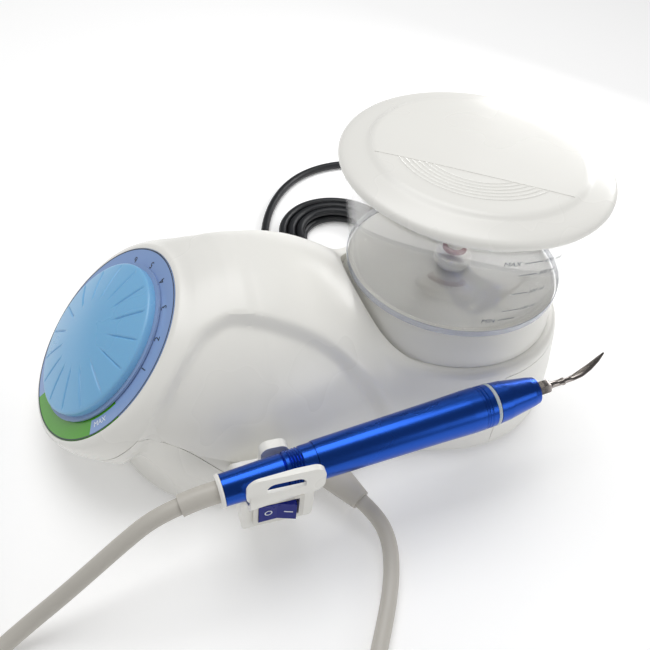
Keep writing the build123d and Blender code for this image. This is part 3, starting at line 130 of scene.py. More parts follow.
def surface(name, base, roughness, cloud=0.03, cloud_size=40.0, grain=0.0, grain_size=0.5,
            wear=0.04, **shader):
    """A material whose tone and gloss drift a little over its surface, with a fine grain.

    cloud is how far the tone drifts, cloud_size and grain_size are lengths in millimetres, grain
    is the height of the grain in millimetres, and wear is how far the roughness drifts."""
    material = bpy.data.materials.new(name)
    material.use_nodes = True
    tree = material.node_tree
    tree.nodes.clear()
    place = add(tree, "ShaderNodeTexCoord").outputs["Object"]
    drift = add(tree, "ShaderNodeTexNoise",
                {"Vector": place, "Scale": 1 / (cloud_size * MM), "Detail": 3.0, "Roughness": 0.5})
    dark = tuple(c * (1 - cloud) for c in colour(base)[:3]) + (1,)
    light = tuple(min(c * (1 + cloud), 1) for c in colour(base)[:3]) + (1,)
    tone = add(tree, "ShaderNodeMix", {"Factor": drift.outputs["Fac"], 6: dark, 7: light},
               data_type="RGBA")
    gloss = add(tree, "ShaderNodeMapRange",
                {"Value": drift.outputs["Fac"],
                 "From Min": NOISE_RANGE[0], "From Max": NOISE_RANGE[1],
                 "To Min": max(roughness - wear, 0.0), "To Max": roughness + wear},
                interpolation_type="SMOOTHSTEP")
    sockets = {"Base Color": tone.outputs[2], "Roughness": gloss.outputs["Result"]}
    if grain:
        fine = add(tree, "ShaderNodeTexNoise",
                   {"Vector": place, "Scale": 1 / (grain_size * MM), "Detail": 2.0})
        bump = add(tree, "ShaderNodeBump", {"Height": fine.outputs["Fac"], "Strength": 1.0,
                                            "Distance": grain * MM})
        sockets["Normal"] = bump.outputs["Normal"]
    sockets.update(shader)
    body = add(tree, "ShaderNodeBsdfPrincipled", sockets)
    add(tree, "ShaderNodeOutputMaterial", {"Surface": body.outputs["BSDF"]})
    return material


CLEAR_COAT = {"Coat Weight": 0.4, "Coat Roughness": 0.08}
MATERIALS = {
    # Moulded ABS with a satin gloss: warm white that keeps soft highlights on its curves.
    "housing_white": surface("abs_warm_white_moulded", "#f1f0eb", 0.3, cloud=0.006,
                             cloud_size=90, grain=0.004, grain_size=0.7),
    # Moulded grey ABS: the duller plate and inner frames.
    "grey_plastic": surface("abs_grey_moulded", "#dddcd6", 0.4, cloud=0.012, grain=0.004),
    # Cast acrylic scale, lit from behind: even lilac blue with a clear top gloss.
    "scale_blue": surface("acrylic_blue_scale", "#8fabdb", 0.22, cloud=0.02, cloud_size=30,
                          **CLEAR_COAT),
    # Cast acrylic scale: the green sector of the same ring.
    "scale_green": surface("acrylic_green_scale", "#4fa51c", 0.22, cloud_size=30,
                           **CLEAR_COAT),
    # Injection-moulded knob: light blue, satin, a little light coming through.
    "knob_blue": surface("plastic_light_blue_knob", "#80bbe6", 0.3, cloud=0.015,
                         grain=0.002, **{"Subsurface Weight": 0.05, "Subsurface Scale": 0.002}),
    # Clear polycarbonate: see-through walls that carry sharp reflections.
    "clear": surface("polycarbonate_clear", "#ffffff", 0.0, cloud=0.0, wear=0.0,
                     **{"Transmission Weight": 1.0, "IOR": 1.4, "Alpha": 0.17}),
    # Moulded rubber feet and washers: black and dull.
    "rubber_dark": surface("rubber_dark_moulded", "#26262a", 0.75, grain=0.01),
    # Silicone seal: dark red, soft sheen.
    "seal_red": surface("silicone_dark_red", "#7c2038", 0.35, cloud=0.05, cloud_size=6),
    # Ground stainless steel: bright, warm grey, with a fine grain from grinding.
    "steel": surface("steel_stainless_ground", "#a69f9b", 0.2, cloud=0.05, cloud_size=4,
                     grain=0.002, grain_size=0.2, Metallic=1.0),
    # Machined titanium: greyer and duller than the steel.
    "titanium": surface("titanium_turned", "#8c8d90", 0.33, cloud=0.05, Metallic=1.0),
    # Anodised aluminium: deep blue metal with a broad satin highlight along the sleeve.
    "handpiece_blue": surface("aluminium_anodised_blue", "#2253b8", 0.27, cloud=0.012,
                              cloud_size=30, wear=0.02, Metallic=0.9),
    # Frosted light guide: pale ring that scatters a little light.
    "light_ring": surface("polycarbonate_frosted", "#b9c3cc", 0.45, cloud=0.02,
                          **{"Subsurface Weight": 0.3, "Subsurface Scale": 0.002}),
    # Silicone hose: warm grey with a satin skin.
    "hose_grey": surface("silicone_hose_grey", "#c3bfb7", 0.42, cloud_size=25,
                         grain=0.008, grain_size=0.8),
    # Black PVC: soft gloss on the lead.
    "lead_black": surface("pvc_black_lead", "#1b1d21", 0.42, cloud=0.08, cloud_size=20,
                          grain=0.006, grain_size=0.6),
    # Moulded black plug: matt, with a finer skin than the lead.
    "plug_black": surface("pvc_black_plug", "#1d1e22", 0.5, cloud=0.06, grain=0.015),
    # Moulded rocker: dark blue with a low gloss.
    "rocker_blue": surface("plastic_dark_blue_rocker", "#15207e", 0.3, cloud_size=8,
                           **{"Specular IOR Level": 0.2}),
    # Switch frame: white nylon, a touch duller and warmer than the bracket.
    "switch_black": surface("nylon_white_switch_frame", "#e3e1da", 0.35, cloud=0.02),
    # Glass fibre board: green solder mask with a light gloss.
    "board_green": surface("glass_fibre_board", "#1c6b3c", 0.3, cloud=0.08, cloud_size=5),
    # Turned brass.
    "brass": surface("brass_turned", "#c59b4a", 0.25, cloud=0.06, Metallic=1.0),
    # Epoxy and coil bodies on the board: near black.
    "component_dark": surface("epoxy_dark", "#242427", 0.55, cloud=0.1, cloud_size=4),
}
# Screen-printed ink: thin, flat and a little shiny.
INK_DARK = surface("ink_dark_print", "#3d4450", 0.45, cloud=0.0, wear=0.0)
INK_PALE = surface("ink_pale_print", "#e9eef2", 0.45, cloud=0.0, wear=0.0)
INK_GREY = surface("ink_grey_print", "#7b8084", 0.45, cloud=0.0, wear=0.0)

# Moulded acrylic rim under the knob: pale blue, with a little of the scale showing through.
SKIRT_BLUE = surface("acrylic_pale_blue_skirt", "#a9c3ee", 0.15, cloud=0.01,
                     **{"Transmission Weight": 0.3, "IOR": 1.45})
# Moulded ABS of the drum under the bowl: a lighter grey than the inner frames.
DRUM_GREY = surface("abs_pale_grey_drum", "#ecebe5", 0.4, cloud=0.01, grain=0.004)
# Thick foot of the bowl: polycarbonate seen on edge, glossy and partly see-through; its pale
# bluish white is a painted reflection of the bright band along the thick rim.
CLEAR_EDGE_PAINTED_REFLECTION = surface("polycarbonate_edge_painted_reflection", "#e9ecf5", 0.06, cloud=0.0, wear=0.02,
                     **{"Transmission Weight": 0.6, "IOR": 1.5})

for entry in frame["record"]["subparts"]:
    node = frame["nodes"].get(entry.get("node"))
    finish = MATERIALS.get(entry.get("material_slot"))
    if node and finish:
        node.data.materials.clear()
        node.data.materials.append(finish)
frame["nodes"]["knob_skirt"].data.materials[0] = SKIRT_BLUE
frame["nodes"]["tank_drum"].data.materials[0] = DRUM_GREY


# Small helpers for pieces

INK = 0.06  # thickness of printed ink
SAME_PLACE = 1e-7  # metres: points closer than this are one point


def piece(name, mesh, slot, body="root", stands_for=(), material=None):
    """An object at the origin that wears the slot's material and rides on a body."""
    obj = linked(name, mesh)
    mesh.materials.clear()
    mesh.materials.append(material or MATERIALS[slot])
    if body:
        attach(obj, body)
    if stands_for:
        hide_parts(*stands_for)
    return obj


def built(name, work, smooth_angle):
    """The mesh of a bmesh, with its normals outwards and smooth up to an angle."""
    bmesh.ops.remove_doubles(work, verts=work.verts, dist=SAME_PLACE)
    bmesh.ops.recalc_face_normals(work, faces=work.faces)
    for face in work.faces:
        face.smooth = True
    for edge in work.edges:
        edge.smooth = len(edge.link_faces) != 2 or edge.calc_face_angle() < radians(smooth_angle)
    mesh = bpy.data.meshes.new(name)
    work.to_mesh(mesh)
    work.free()
    return mesh


def spun(outline, steps):
    """A bmesh turned about Z from a closed outline of radius and height in millimetres."""
    work = bmesh.new()
    verts = [work.verts.new((r * MM, 0, z * MM)) for r, z in outline]
    edges = [work.edges.new(pair) for pair in zip(verts, verts[1:] + verts[:1])
             if pair[0].co.x or pair[1].co.x]
    bmesh.ops.spin(work, geom=verts + edges, cent=(0, 0, 0), axis=(0, 0, 1), angle=2 * pi,
                   steps=steps, use_merge=True)
    return work


def join(work, other):
    """Adds a second bmesh to the first and frees it."""
    mesh = bpy.data.meshes.new("joined")
    other.to_mesh(mesh)
    other.free()
    work.from_mesh(mesh)
    bpy.data.meshes.remove(mesh)


def move(work, matrix):
    """Moves a whole bmesh."""
    bmesh.ops.transform(work, matrix=matrix, verts=work.verts)


def bisect(work, point, normal, **settings):
    """Cuts edges into a bmesh where a plane passes through it."""
    bmesh.ops.bisect_plane(work, geom=work.verts[:] + work.edges[:] + work.faces[:],
                           dist=SAME_PLACE / 10, plane_co=point, plane_no=normal, **settings)


def evaluated(obj):
    """The mesh of an object with its curve or modifiers worked in; the object goes."""
    bpy.context.view_layer.update()
    mesh = bpy.data.meshes.new_from_object(
        obj.evaluated_get(bpy.context.evaluated_depsgraph_get()))
    bpy.data.objects.remove(obj)
    return mesh


def curve_mesh(curve):
    """The mesh of a curve, which goes."""
    mesh = evaluated(linked(curve.name, curve))
    bpy.data.curves.remove(curve)
    return mesh


def as_bmesh(mesh):
    """The bmesh of a mesh, which goes."""
    work = bmesh.new()
    work.from_mesh(mesh)
    bpy.data.meshes.remove(mesh)
    return work


def as_object(name, work):
    """An object of a bmesh, which goes."""
    mesh = bpy.data.meshes.new(name)
    work.to_mesh(mesh)
    work.free()
    return linked(name, mesh)


def frame_at(origin, right, up):
    """The matrix that stands a flat drawing at a point, from its right and up directions."""
    right = Vector(right).normalized()
    out = right.cross(Vector(up)).normalized()
    up = out.cross(right)
    return Matrix.Translation(origin) @ Matrix((right, up, out)).transposed().to_4x4()


def lettering(text, size):
    """A bmesh of flat letters about the origin, their size in millimetres."""
    curve = bpy.data.curves.new("letters", "FONT")
    curve.body = text
    curve.size = size * MM
    curve.align_x = "CENTER"
    curve.align_y = "CENTER"
    curve.resolution_u = 4
    curve.extrude = INK * MM / 2
    return as_bmesh(curve_mesh(curve))


def bar(wide, high, thick=INK):
    """A bmesh of a bar about the origin, its sides in millimetres."""
    work = bmesh.new()
    bmesh.ops.create_cube(work, size=1.0)
    bmesh.ops.scale(work, vec=(wide * MM, high * MM, thick * MM), verts=work.verts)
    return work


# Cords: the routes are those of the CAD solids

HOSE = 7.0  # diameters of the two cords
LEAD = 5.0
LAYER_GAP = 0.6  # between the two layers of a coil
COIL_STEP = 22.5  # degrees between a coil's controls
COIL_TURNS = 6


class Coil:
    """Turns that spiral in on the floor, climb one layer and spiral out again."""

    def __init__(self, centre, radius, start, end, turns, pitch, diameter):
        self.centre, self.radius, self.start, self.pitch = centre, radius, start, pitch
        self.total = turns * 360 + (end - start) % 360
        self.inward = (self.total - 180) / 2
        self.low = diameter / 2
        self.high = diameter / 2 + diameter + LAYER_GAP

    def point(self, angle, swell):
        """The place at an angle from the start, its radius swollen by a factor."""
        inner = self.radius - self.pitch * self.inward / 360
        share = min(max((angle - self.inward) / 180, 0), 1)
        if angle < self.inward:
            radius = self.radius - self.pitch * angle / 360
        elif angle > self.inward + 180:
            radius = inner + self.pitch * (angle - self.inward - 180) / 360
        else:
            radius = inner - self.pitch / (2 * pi) * sin(pi * share)
        height = self.low + (self.high - self.low) * eased(share)
        around = radians(self.start + angle)
        return (self.centre[0] + swell * radius * cos(around),
                self.centre[1] + swell * radius * sin(around), height)

    def controls(self):
        """Spline controls between the ends, swollen so that the curve keeps the true radius."""
        count = round(self.total / COIL_STEP)
        step = self.total / count
        swell = 1 / cos(radians(step / 2))
        return [self.point((i + 0.5) * step, swell) for i in range(count)]


def cord_curve(name, points, diameter=0.0):
    """One spline through a route; with a diameter it is a round tube."""
    curve = bpy.data.curves.new(name, "CURVE")
    curve.dimensions = "3D"
    curve.resolution_u = 5
    curve.bevel_depth = diameter / 2 * MM
    curve.bevel_resolution = 3
    curve.use_fill_caps = bool(diameter)
    spline = curve.splines.new("NURBS")
    spline.points.add(len(points) - 1)
    for control, place in zip(spline.points, points):
        control.co = (*at(*place), 1)
    spline.order_u = 3
    spline.use_endpoint_u = True
    return curve


def cord_tube(name, points, diameter):
    """The mesh of the tube and the points that its middle follows."""
    line = curve_mesh(cord_curve(name, points))
    path = [tuple(v.co) for v in line.vertices]
    bpy.data.meshes.remove(line)
    mesh = curve_mesh(cord_curve(name, points, diameter))
    mesh.name = name
    for face in mesh.polygons:
        face.use_smooth = True
    return mesh, path


RELIEF_END = (-68.6, -82.5, 12.4)
UNIT_ROUTE = [(-63.7, -91.1, 11.3), (-61.8, -101.4, 8.2), (-64.2, -112.2, 5.0),
              (-69.0, -122.8, 3.7), (-75.2, -133.4, 3.5), (-82.8, -145.4, 3.6),
              (-90.6, -158.8, 4.8), (-98.6, -173.0, 7.4), (-106.6, -188.0, 10.0),
              (-114.5, -203.37, 11.1), (-121.74, -215.35, 11.1)]
HOSE_ROUTE = [(-210.97, -204.07, 3.5), (-215.0, -190.67, 3.5), (-220.4, -173.2, 3.5),
              (-225.2, -158.6, 3.5), (-229.6, -144.0, 3.5), (-232.0, -129.0, 3.5),
              (-228.6, -115.2, 3.6), (-219.5, -105.0, 4.4), (-206.8, -99.6, 9.4),
              (-193.0, -96.5, 18.4), (-180.2, -93.5, 27.6), (-168.1, -90.5, 36.2),
              (-156.2, -87.5, 43.2), (-146.59, -86.20, 44.80)]
hose_coil = Coil((-165.0, -199.0), 45.5, 195.0, -29.4, COIL_TURNS, 7.5, HOSE)
hose_points = [RELIEF_END] + UNIT_ROUTE + hose_coil.controls()[::-1] + HOSE_ROUTE
hose_mesh, hose_path = cord_tube("hose", hose_points, HOSE)
hose = piece("hose", hose_mesh, "hose_grey", body=None,
             stands_for=("hose_unit_side", "hose_coil", "hose_handpiece_side"))
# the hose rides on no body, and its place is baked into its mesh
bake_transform(hose)

MAINS_EXIT = (40.98, 77.08, 15.0)
LEAD_ROUTE = [(45.68, 85.91, 15.0), (52.4, 97.0, 11.8), (60.2, 108.4, 7.4), (67.2, 120.5, 4.0),
              (71.8, 133.8, 2.6), (72.0, 148.2, 2.5), (67.2, 161.4, 2.5), (56.6, 174.0, 2.5),
              (42.0, 183.6, 2.5), (25.6, 189.2, 2.5), (9.0, 190.4, 2.5), (-7.4, 187.4, 2.5),
              (-23.0, 179.6, 2.5), (-37.0, 166.8, 2.5), (-48.6, 150.4, 2.5),
              (-57.4, 131.6, 2.5), (-62.2, 114.0, 2.5), (-61.6, 103.4, 2.5),
              (-57.04, 94.23, 2.5), (-46.15, 83.92, 2.5)]
PLUG_RUN = [(12.02, 81.38, 8.1), (23.77, 90.70, 8.1), (32.3, 104.3, 7.0),
            (35.92, 117.82, 7.0)]
lead_coil = Coil((-16.0, 107.0), 37.5, 225.0, -50.0, COIL_TURNS, 5.45, LEAD)
lead_points = [MAINS_EXIT] + LEAD_ROUTE + lead_coil.controls() + PLUG_RUN
lead_mesh, lead_path = cord_tube("mains_cord", lead_points, LEAD)
mains_cord = piece("mains_cord", lead_mesh, "lead_black",
                   stands_for=("mains_lead", "mains_lead_coil", "mains_lead_plug_end"))


# Housing: its shape as a field of distances, and a skin shot onto it

PIVOT = (-100.0, 116.8)  # x and z of the line that the head's planes fan out from
FACE_TILT = 45.3  # tilt of the plane of the dial's face
FAN_MIDDLE = 91.7  # from the pivot down to where the head's rays start
AXIS_Z = 25.1  # height of the line that the other rays start from
PLATFORM_Z = 50.0
RECESS_RADIUS = 53.2
FOOT_Z = 1.5  # lower edge of the skin
WALL = 2.5
# tilt of the plane, then top, middle and bottom below the pivot, half width, upper and lower power
FAN = ((FACE_TILT, 45.5, 91.7, 137.9, 46.2, 2.0, 2.0), (45.0, 44.4, 91.7, 139.0, 47.4, 2.0, 2.0),
       (44.4, 43.6, 91.6, 139.5, 48.9, 2.0, 2.0), (43.5, 43.0, 91.4, 139.8, 50.2, 2.0, 2.0),
       (38.0, 37.6, 90.4, 134.0, 54.6, 1.95, 2.1), (30.0, 32.8, 89.2, 123.0, 59.0, 1.95, 2.2),
       (20.0, 29.6, 89.5, 121.0, 62.6, 2.0, 2.3), (10.0, 28.6, 91.0, 123.0, 64.8, 2.0, 2.4),
       (0.0, 29.0, 93.0, 126.0, 65.8, 2.0, 2.5))
# distance along X, height of the top, half width
HUMP = ((-100, 87.8, 65.8), (-90, 86.0, 64.8), (-80, 83.4, 63.0), (-70, 79.8, 60.6),
        (-60, 74.6, 58.0), (-53, 70.0, 56.4), (-45, 63.0, 55.0), (-35, 54.0, 54.0),
        (-25, 43.5, 53.0), (-10, 28.0, 50.0))
HUMP_FRONT, HUMP_REAR = HUMP[0][0], HUMP[-1][0]
HUMP_AXIS = 23.8  # height at which the hump is widest
HUMP_BELOW = 33.0  # how far its oval reaches down from there
HUMP_POWERS = (2.0, 2.5)  # above and below the axis
# height, radius of the round body under the tank
REAR = ((0, 61.3), (20, 60.6), (35, 58.8), (45, 57.2), (50, 56.0), (60, 53.0))
# distance along X, height less distance sideways: below this line the flank is set back
SCOOP = ((-170, -30), (-158, -6), (-149, 12), (-137, 35.5), (-125, 51.5), (-113, 57.0),
         (-101, 53.5), (-89, 46.5), (-78.5, 38.2), (-68, 26.7), (-59.7, 12.9), (-51.5, -2.0),
         (-46, -16.6), (-40, -38), (-30, -75))
SCOOP_WIDTH = (6.0, 9.5)  # of the slope beside the line, at the front and at the rear
SCOOP_DEPTH = (4.0, 5.5)
SCOOP_REAR = (-115, -55)  # along X, where it changes from the front's to the rear's
# plan of the lower moulding: a full oval in front of its middle, straight flanks behind it
FOOT_MIDDLE = -110
FOOT_REACH = 57.2
FOOT_HALF = 64.7
FOOT_POWER = 2.2
FOOT_SCALE = 56  # makes a distance of the oval's share, near its edge
FOOT_INSET = 0.8  # from the hump's flanks
FOOT_TOP = 30
BOTTOM_Z = -6  # the field goes on below the floor, and the skin is cut off later
# how softly the forms run into each other
FOOT_EDGE = 16
FOOT_BLEND = 8.0
REAR_BLEND = 12.0
PLATFORM_EDGE = 3.5


def through(points, column=1):
    """A smooth curve through points that doesn't overshoot them."""
    xs = np.array([p[0] for p in points], float)
    ys = np.array([p[column] for p in points], float)
    if xs[0] > xs[-1]:
        xs, ys = xs[::-1], ys[::-1]
    gaps = np.diff(xs)
    slopes = np.diff(ys) / gaps
    before, after = slopes[:-1], slopes[1:]
    w1, w2 = 2 * gaps[1:] + gaps[:-1], gaps[1:] + 2 * gaps[:-1]
    same = before * after > 0
    inner = np.zeros(len(before))
    inner[same] = (w1 + w2)[same] / (w1[same] / before[same] + w2[same] / after[same])
    tangents = np.concatenate(([slopes[0]], inner, [slopes[-1]]))

    def value(x):
        i = np.clip(np.searchsorted(xs, x) - 1, 0, len(gaps) - 1)
        t = (x - xs[i]) / gaps[i]
        return ((1 + 2 * t) * (1 - t) ** 2 * ys[i] + t * (1 - t) ** 2 * gaps[i] * tangents[i]
                + t * t * (3 - 2 * t) * ys[i + 1] + t * t * (t - 1) * gaps[i] * tangents[i + 1])
    return value


fan_curves = [through(FAN, k) for k in range(1, 7)]
hump_top, hump_half = through(HUMP, 1), through(HUMP, 2)
rear_radius = through(REAR)
scoop_line = through(SCOOP)


def oval(y, rise, half, reach, power):
    """Distance, roughly, from an oval of a half width, a reach up or down, and a fullness."""
    size = (np.abs(y / half) ** power + np.abs(rise / reach) ** power) ** (1 / power)
    return (size - 1) * np.minimum(half, reach)


def greater(a, b, soft):
    """The greater of two distances, rounded over the soft length."""
    h = np.clip(0.5 + 0.5 * (a - b) / soft, 0, 1)
    return b * (1 - h) + a * h + soft * h * (1 - h)


def lesser(a, b, soft):
    """The lesser of two distances, rounded over the soft length."""
    return -greater(-a, -b, soft)


def head_and_hump(x, y, z):
    """Distance from the head in front of the pivot and the hump behind it."""
    dx, dz = PIVOT[0] - x, PIVOT[1] - z
    tilt, drop = np.degrees(np.arctan2(dx, dz)), np.hypot(dx, dz)
    top, middle, bottom, half, full_up, full_down = [
        curve(np.clip(tilt, 0, FACE_TILT)) for curve in fan_curves]
    up = drop < middle
    head = oval(y, drop - middle, half, np.where(up, middle - top, bottom - middle),
                np.where(up, full_up, full_down))
    along = np.clip(x, HUMP_FRONT, HUMP_REAR)
    up = z > HUMP_AXIS
    hump = oval(y, z - HUMP_AXIS, hump_half(along),
                np.where(up, hump_top(along) - HUMP_AXIS, HUMP_BELOW),
                np.where(up, *HUMP_POWERS))
    return np.where(x < PIVOT[0], head, hump + np.maximum(x - HUMP_REAR, 0))


def foot(x, y, z):
    """Distance from the lower moulding."""
    size = (np.abs((x - FOOT_MIDDLE) / FOOT_REACH) ** FOOT_POWER
            + np.abs(y / FOOT_HALF) ** FOOT_POWER) ** (1 / FOOT_POWER)
    flank = hump_half(np.clip(x, HUMP_FRONT, HUMP_REAR)) - FOOT_INSET
    side = np.abs(y) - np.where(x < HUMP_FRONT, FOOT_HALF, flank)
    plan = np.where(x < FOOT_MIDDLE, (size - 1) * FOOT_SCALE, side)
    return greater(np.maximum(plan, x - HUMP_REAR), z - FOOT_TOP, FOOT_EDGE)


def scooped(x, y, z):
    """How far the flank is set back at a place."""
    along = np.clip(x, SCOOP[0][0] + 1, SCOOP[-1][0] - 1)
    slope = scoop_line(along + 0.5) - scoop_line(along - 0.5)
    below = (scoop_line(along) - z + np.abs(y)) / np.sqrt(2 + slope ** 2)
    rear = np.clip((x - SCOOP_REAR[0]) / (SCOOP_REAR[1] - SCOOP_REAR[0]), 0, 1)
    width, depth = (a + (b - a) * rear for a, b in (SCOOP_WIDTH, SCOOP_DEPTH))
    return depth * eased(np.clip(below / width, 0, 1))


def body_distance(places):
    """Distance, roughly, from the whole housing; negative inside."""
    x, y, z = places[..., 0], places[..., 1], places[..., 2]
    rear = np.hypot(x, y) - rear_radius(np.clip(z, REAR[0][0], REAR[-1][0]))
    rear = greater(rear, z - PLATFORM_Z, PLATFORM_EDGE)
    upper = lesser(head_and_hump(x, y, z), rear, REAR_BLEND) + scooped(x, y, z)
    return np.maximum(lesser(upper, foot(x, y, z), FOOT_BLEND), BOTTOM_Z - z)


SHOT_LENGTH = 140  # a ray is tried in steps, and the step where it leaves is halved
SHOT_STEPS = 44
HALVINGS = 18


def shoot(centres, rays):
    """Where rays from inside leave the body."""
    steps = np.linspace(0, SHOT_LENGTH, SHOT_STEPS)
    places = centres[:, None, :] + steps[:, None] * rays[:, None, :]
    out = body_distance(places) > 0
    first = np.argmax(out, axis=1)
    low, high = steps[first - 1], steps[first]
    for _ in range(HALVINGS):
        middle = (low + high) / 2
        inside = body_distance(centres + middle[:, None] * rays) < 0
        low, high = np.where(inside, middle, low), np.where(inside, high, middle)
    return centres + high[:, None] * rays


ROUND = 288  # points in a full row
ALL_ROUND = np.radians(np.arange(ROUND) * 360 / ROUND - 90)
HALF_ROUND = np.radians(90 - np.arange(ROUND // 2 + 1) * 360 / ROUND)
HEAD_SEAM = 39.4  # tilt of the plane between the head and the lower moulding
# planes of the rows on the rounded edge about the dial
EDGE_TILTS = (FACE_TILT, 45.15, 45.0, 44.7, 44.4, 44.0, 43.5, 42.7, 41.8, 40.6)
HEAD_ROWS = 26  # from the seam's plane to the upright one
HUMP_ROWS = np.arange(-98, 0.1, 2)
REAR_ROWS = np.radians(np.arange(0, 181, 2.5))
# radius and height over the face's plane of the rows on the dial's seat
SEAT = ((42.0, -3.2), (42.0, -2.22), (45.55, -2.22), (45.55, -0.3), (45.85, 0.0))
ROW_GAP = 2e-6  # metres: rows whose points are closer than this are sewn together
SIDEWAYS = np.array((0, 1.0, 0))
UPWARDS = np.array((0, 0, 1.0))


def fan_axes(tilt):
    """Centre, up direction and outwards direction of a plane of the fan."""
    t = radians(tilt)
    return (np.array((PIVOT[0] - FAN_MIDDLE * sin(t), 0, PIVOT[1] - FAN_MIDDLE * cos(t))),
            np.array((sin(t), 0, cos(t))), np.array((-cos(t), 0, sin(t))))


def section(centre, side, up, angles):
    """The starts and directions of a row's rays, from one point and in one plane."""
    rays = np.cos(angles)[:, None] * side + np.sin(angles)[:, None] * up
    return np.broadcast_to(centre, rays.shape), rays


def shot_rows(sections):
    """The rows of points that the sections' rays meet."""
    centres, rays = (np.concatenate(part) for part in zip(*sections))
    return list(shoot(centres, rays).reshape(len(sections), -1, 3))


def body_rows():
    """The skin's full rows, on the dial's seat, head and hump, and half rows, on the rear."""
    tilts = [*EDGE_TILTS, *(HEAD_SEAM * (1 - i / HEAD_ROWS) for i in range(HEAD_ROWS + 1))]
    full = [section(fan_axes(t)[0], SIDEWAYS, fan_axes(t)[1], ALL_ROUND) for t in tilts]
    full += [section(np.array((x, 0, AXIS_Z)), SIDEWAYS, UPWARDS, ALL_ROUND) for x in HUMP_ROWS]
    half = [section(np.array((0, 0, AXIS_Z)), np.array((sin(p), cos(p), 0)), UPWARDS, HALF_ROUND)
            for p in REAR_ROWS]
    centre, _, out = fan_axes(FACE_TILT)
    seat = [centre + out * height + radius * full[0][1] for radius, height in SEAT]
    return seat + shot_rows(full), shot_rows(half)


def closed_body():
    """The bmesh of the whole housing as one closed skin."""
    work = bmesh.new()
    full, half = ([[work.verts.new(at(*p)) for p in row] for row in rows]
                  for rows in body_rows())
    for rows, first in ((full, 0), (half, 1)):
        for a, b in zip(rows, rows[1:]):
            for i in range(first, len(a)):
                work.faces.new((a[i - 1], a[i], b[i], b[i - 1]))
    work.faces.new(full[0])
    bmesh.ops.remove_doubles(work, verts=work.verts, dist=ROW_GAP)
    bmesh.ops.recalc_face_normals(work, faces=work.faces)
    return work


def plug(work, start, end, radius, segments=96):
    """Adds a closed cylinder between two points in millimetres."""
    a, b = at(*start), at(*end)
    turn = (b - a).to_track_quat("Z", "Y").to_matrix().to_4x4()
    bmesh.ops.create_cone(work, cap_ends=True, segments=segments, radius1=radius * MM,
                          radius2=radius * MM, depth=(b - a).length,
                          matrix=Matrix.Translation((a + b) / 2) @ turn)


def after(obj, kind, **settings):
    """The bmesh of an object with one modifier worked in; the object goes."""
    modifier = obj.modifiers.new(kind, kind)
    for name, value in settings.items():
        setattr(modifier, name, value)
    return as_bmesh(evaluated(obj))


def cut(work, cutter):
    """The first bmesh without the room of the second; both go."""
    tool = as_object("cutter", cutter)
    work = after(as_object("body", work), "BOOLEAN", operation="DIFFERENCE", solver="EXACT",
                 object=tool)
    bpy.data.objects.remove(tool)
    return work


SEAM_HALF = 0.17 * MM
SEAM_START = (-158.2, 0, 46.6)
SEAM_DOWN = Vector((-46.6, 0, -71.2)).normalized()  # square to the seam, towards the base
head_place, _, head_front = fan_axes(HEAD_SEAM)
COVER_X = 7.5  # front edge and upper edge of the rear cover
COVER_Z = 45.0
SEAMS = ((SEAM_START, SEAM_DOWN), (head_place, head_front), ((COVER_X, 0, 0), (1, 0, 0)),
         ((0, 0, COVER_Z), (0, 0, 1)))
MOULDINGS = (("housing_skin", "upper_housing"), ("base_skin", "base_shell"),
             ("cover_skin", "rear_cover"))


def zone_of(centre):
    """The moulding that a face belongs to, or none inside a seam."""
    below = (centre - at(*SEAM_START)).dot(SEAM_DOWN)
    behind = -(centre - at(*head_place)).dot(Vector(head_front))
    base = min(below, behind)
    rear = min(centre.x - at(COVER_X, 0, 0).x, COVER_Z * MM - centre.z)
    for depth, name in ((base, "base_skin"), (rear, "cover_skin")):
        if abs(depth) < SEAM_HALF:
            return None
        if depth > 0:
            return name
    return "housing_skin"


def from_axis(angle, radius, height):
    """A place at an angle about the tank's axis."""
    return radius * cos(radians(angle)), radius * sin(radians(angle)), height


# start, end and radius of the round openings: for the tank's coupling, the hose, the mains lead
# and the foot switch socket
OPENINGS = (((0, 0, 45), (0, 0, 56), 6.2), ((-84.9, -53.9, 16.0), (-71.5, -77.3, 13.0), 7.6),
            (from_axis(62, 55, 15.0), from_axis(62, 75, 15.0), 6.2),
            (from_axis(5, 54, 22.0), from_axis(5, 75, 22.0), 6.6))
RECESS_LIFT = 0.02  # of the recess's floor over the platform
RECESS_TOP = 120
DIAL_HOLE = 41  # radius of the opening behind the dial
DIAL_HOLE_DEPTH = 3.0
FACING = 0.95  # least cosine between a face's normal and the dial's


def open_behind_dial(work):
    """Takes away the faces that shut the skin behind the dial."""
    centre, _, out = fan_axes(FACE_TILT)
    middle = at(*(centre - DIAL_HOLE_DEPTH * out))
    out = Vector(out)
    shut = []
    for face in work.faces:
        away = face.calc_center_median() - middle
        if away.dot(out) < 0 and away.length < DIAL_HOLE * MM and face.normal.dot(out) > FACING:
            shut.append(face)
    bmesh.ops.delete(work, geom=shut, context="FACES")


def housing():
    """The three mouldings of the housing, from one skin that is split at their seams."""
    recess = bmesh.new()
    plug(recess, (0, 0, PLATFORM_Z + RECESS_LIFT), (0, 0, RECESS_TOP), RECESS_RADIUS, 256)
    openings = bmesh.new()
    for start, end, radius in OPENINGS:
        plug(openings, start, end, radius)
    work = cut(cut(closed_body(), recess), openings)
    open_behind_dial(work)
    bisect(work, (0, 0, FOOT_Z * MM), (0, 0, -1), clear_outer=True)
    for point, normal in SEAMS:
        for side in (-SEAM_HALF, SEAM_HALF):
            bisect(work, at(*point) + Vector(normal) * side, normal)
    for name, node in MOULDINGS:
        part = work.copy()
        rest = [f for f in part.faces if zone_of(f.calc_center_median()) != name]
        bmesh.ops.delete(part, geom=rest, context="FACES")
        part = after(as_object(name, part), "SOLIDIFY", thickness=WALL * MM, offset=-1.0)
        piece(name, built(name, part, 30), "housing_white", stands_for=(node,))
    work.free()


housing()


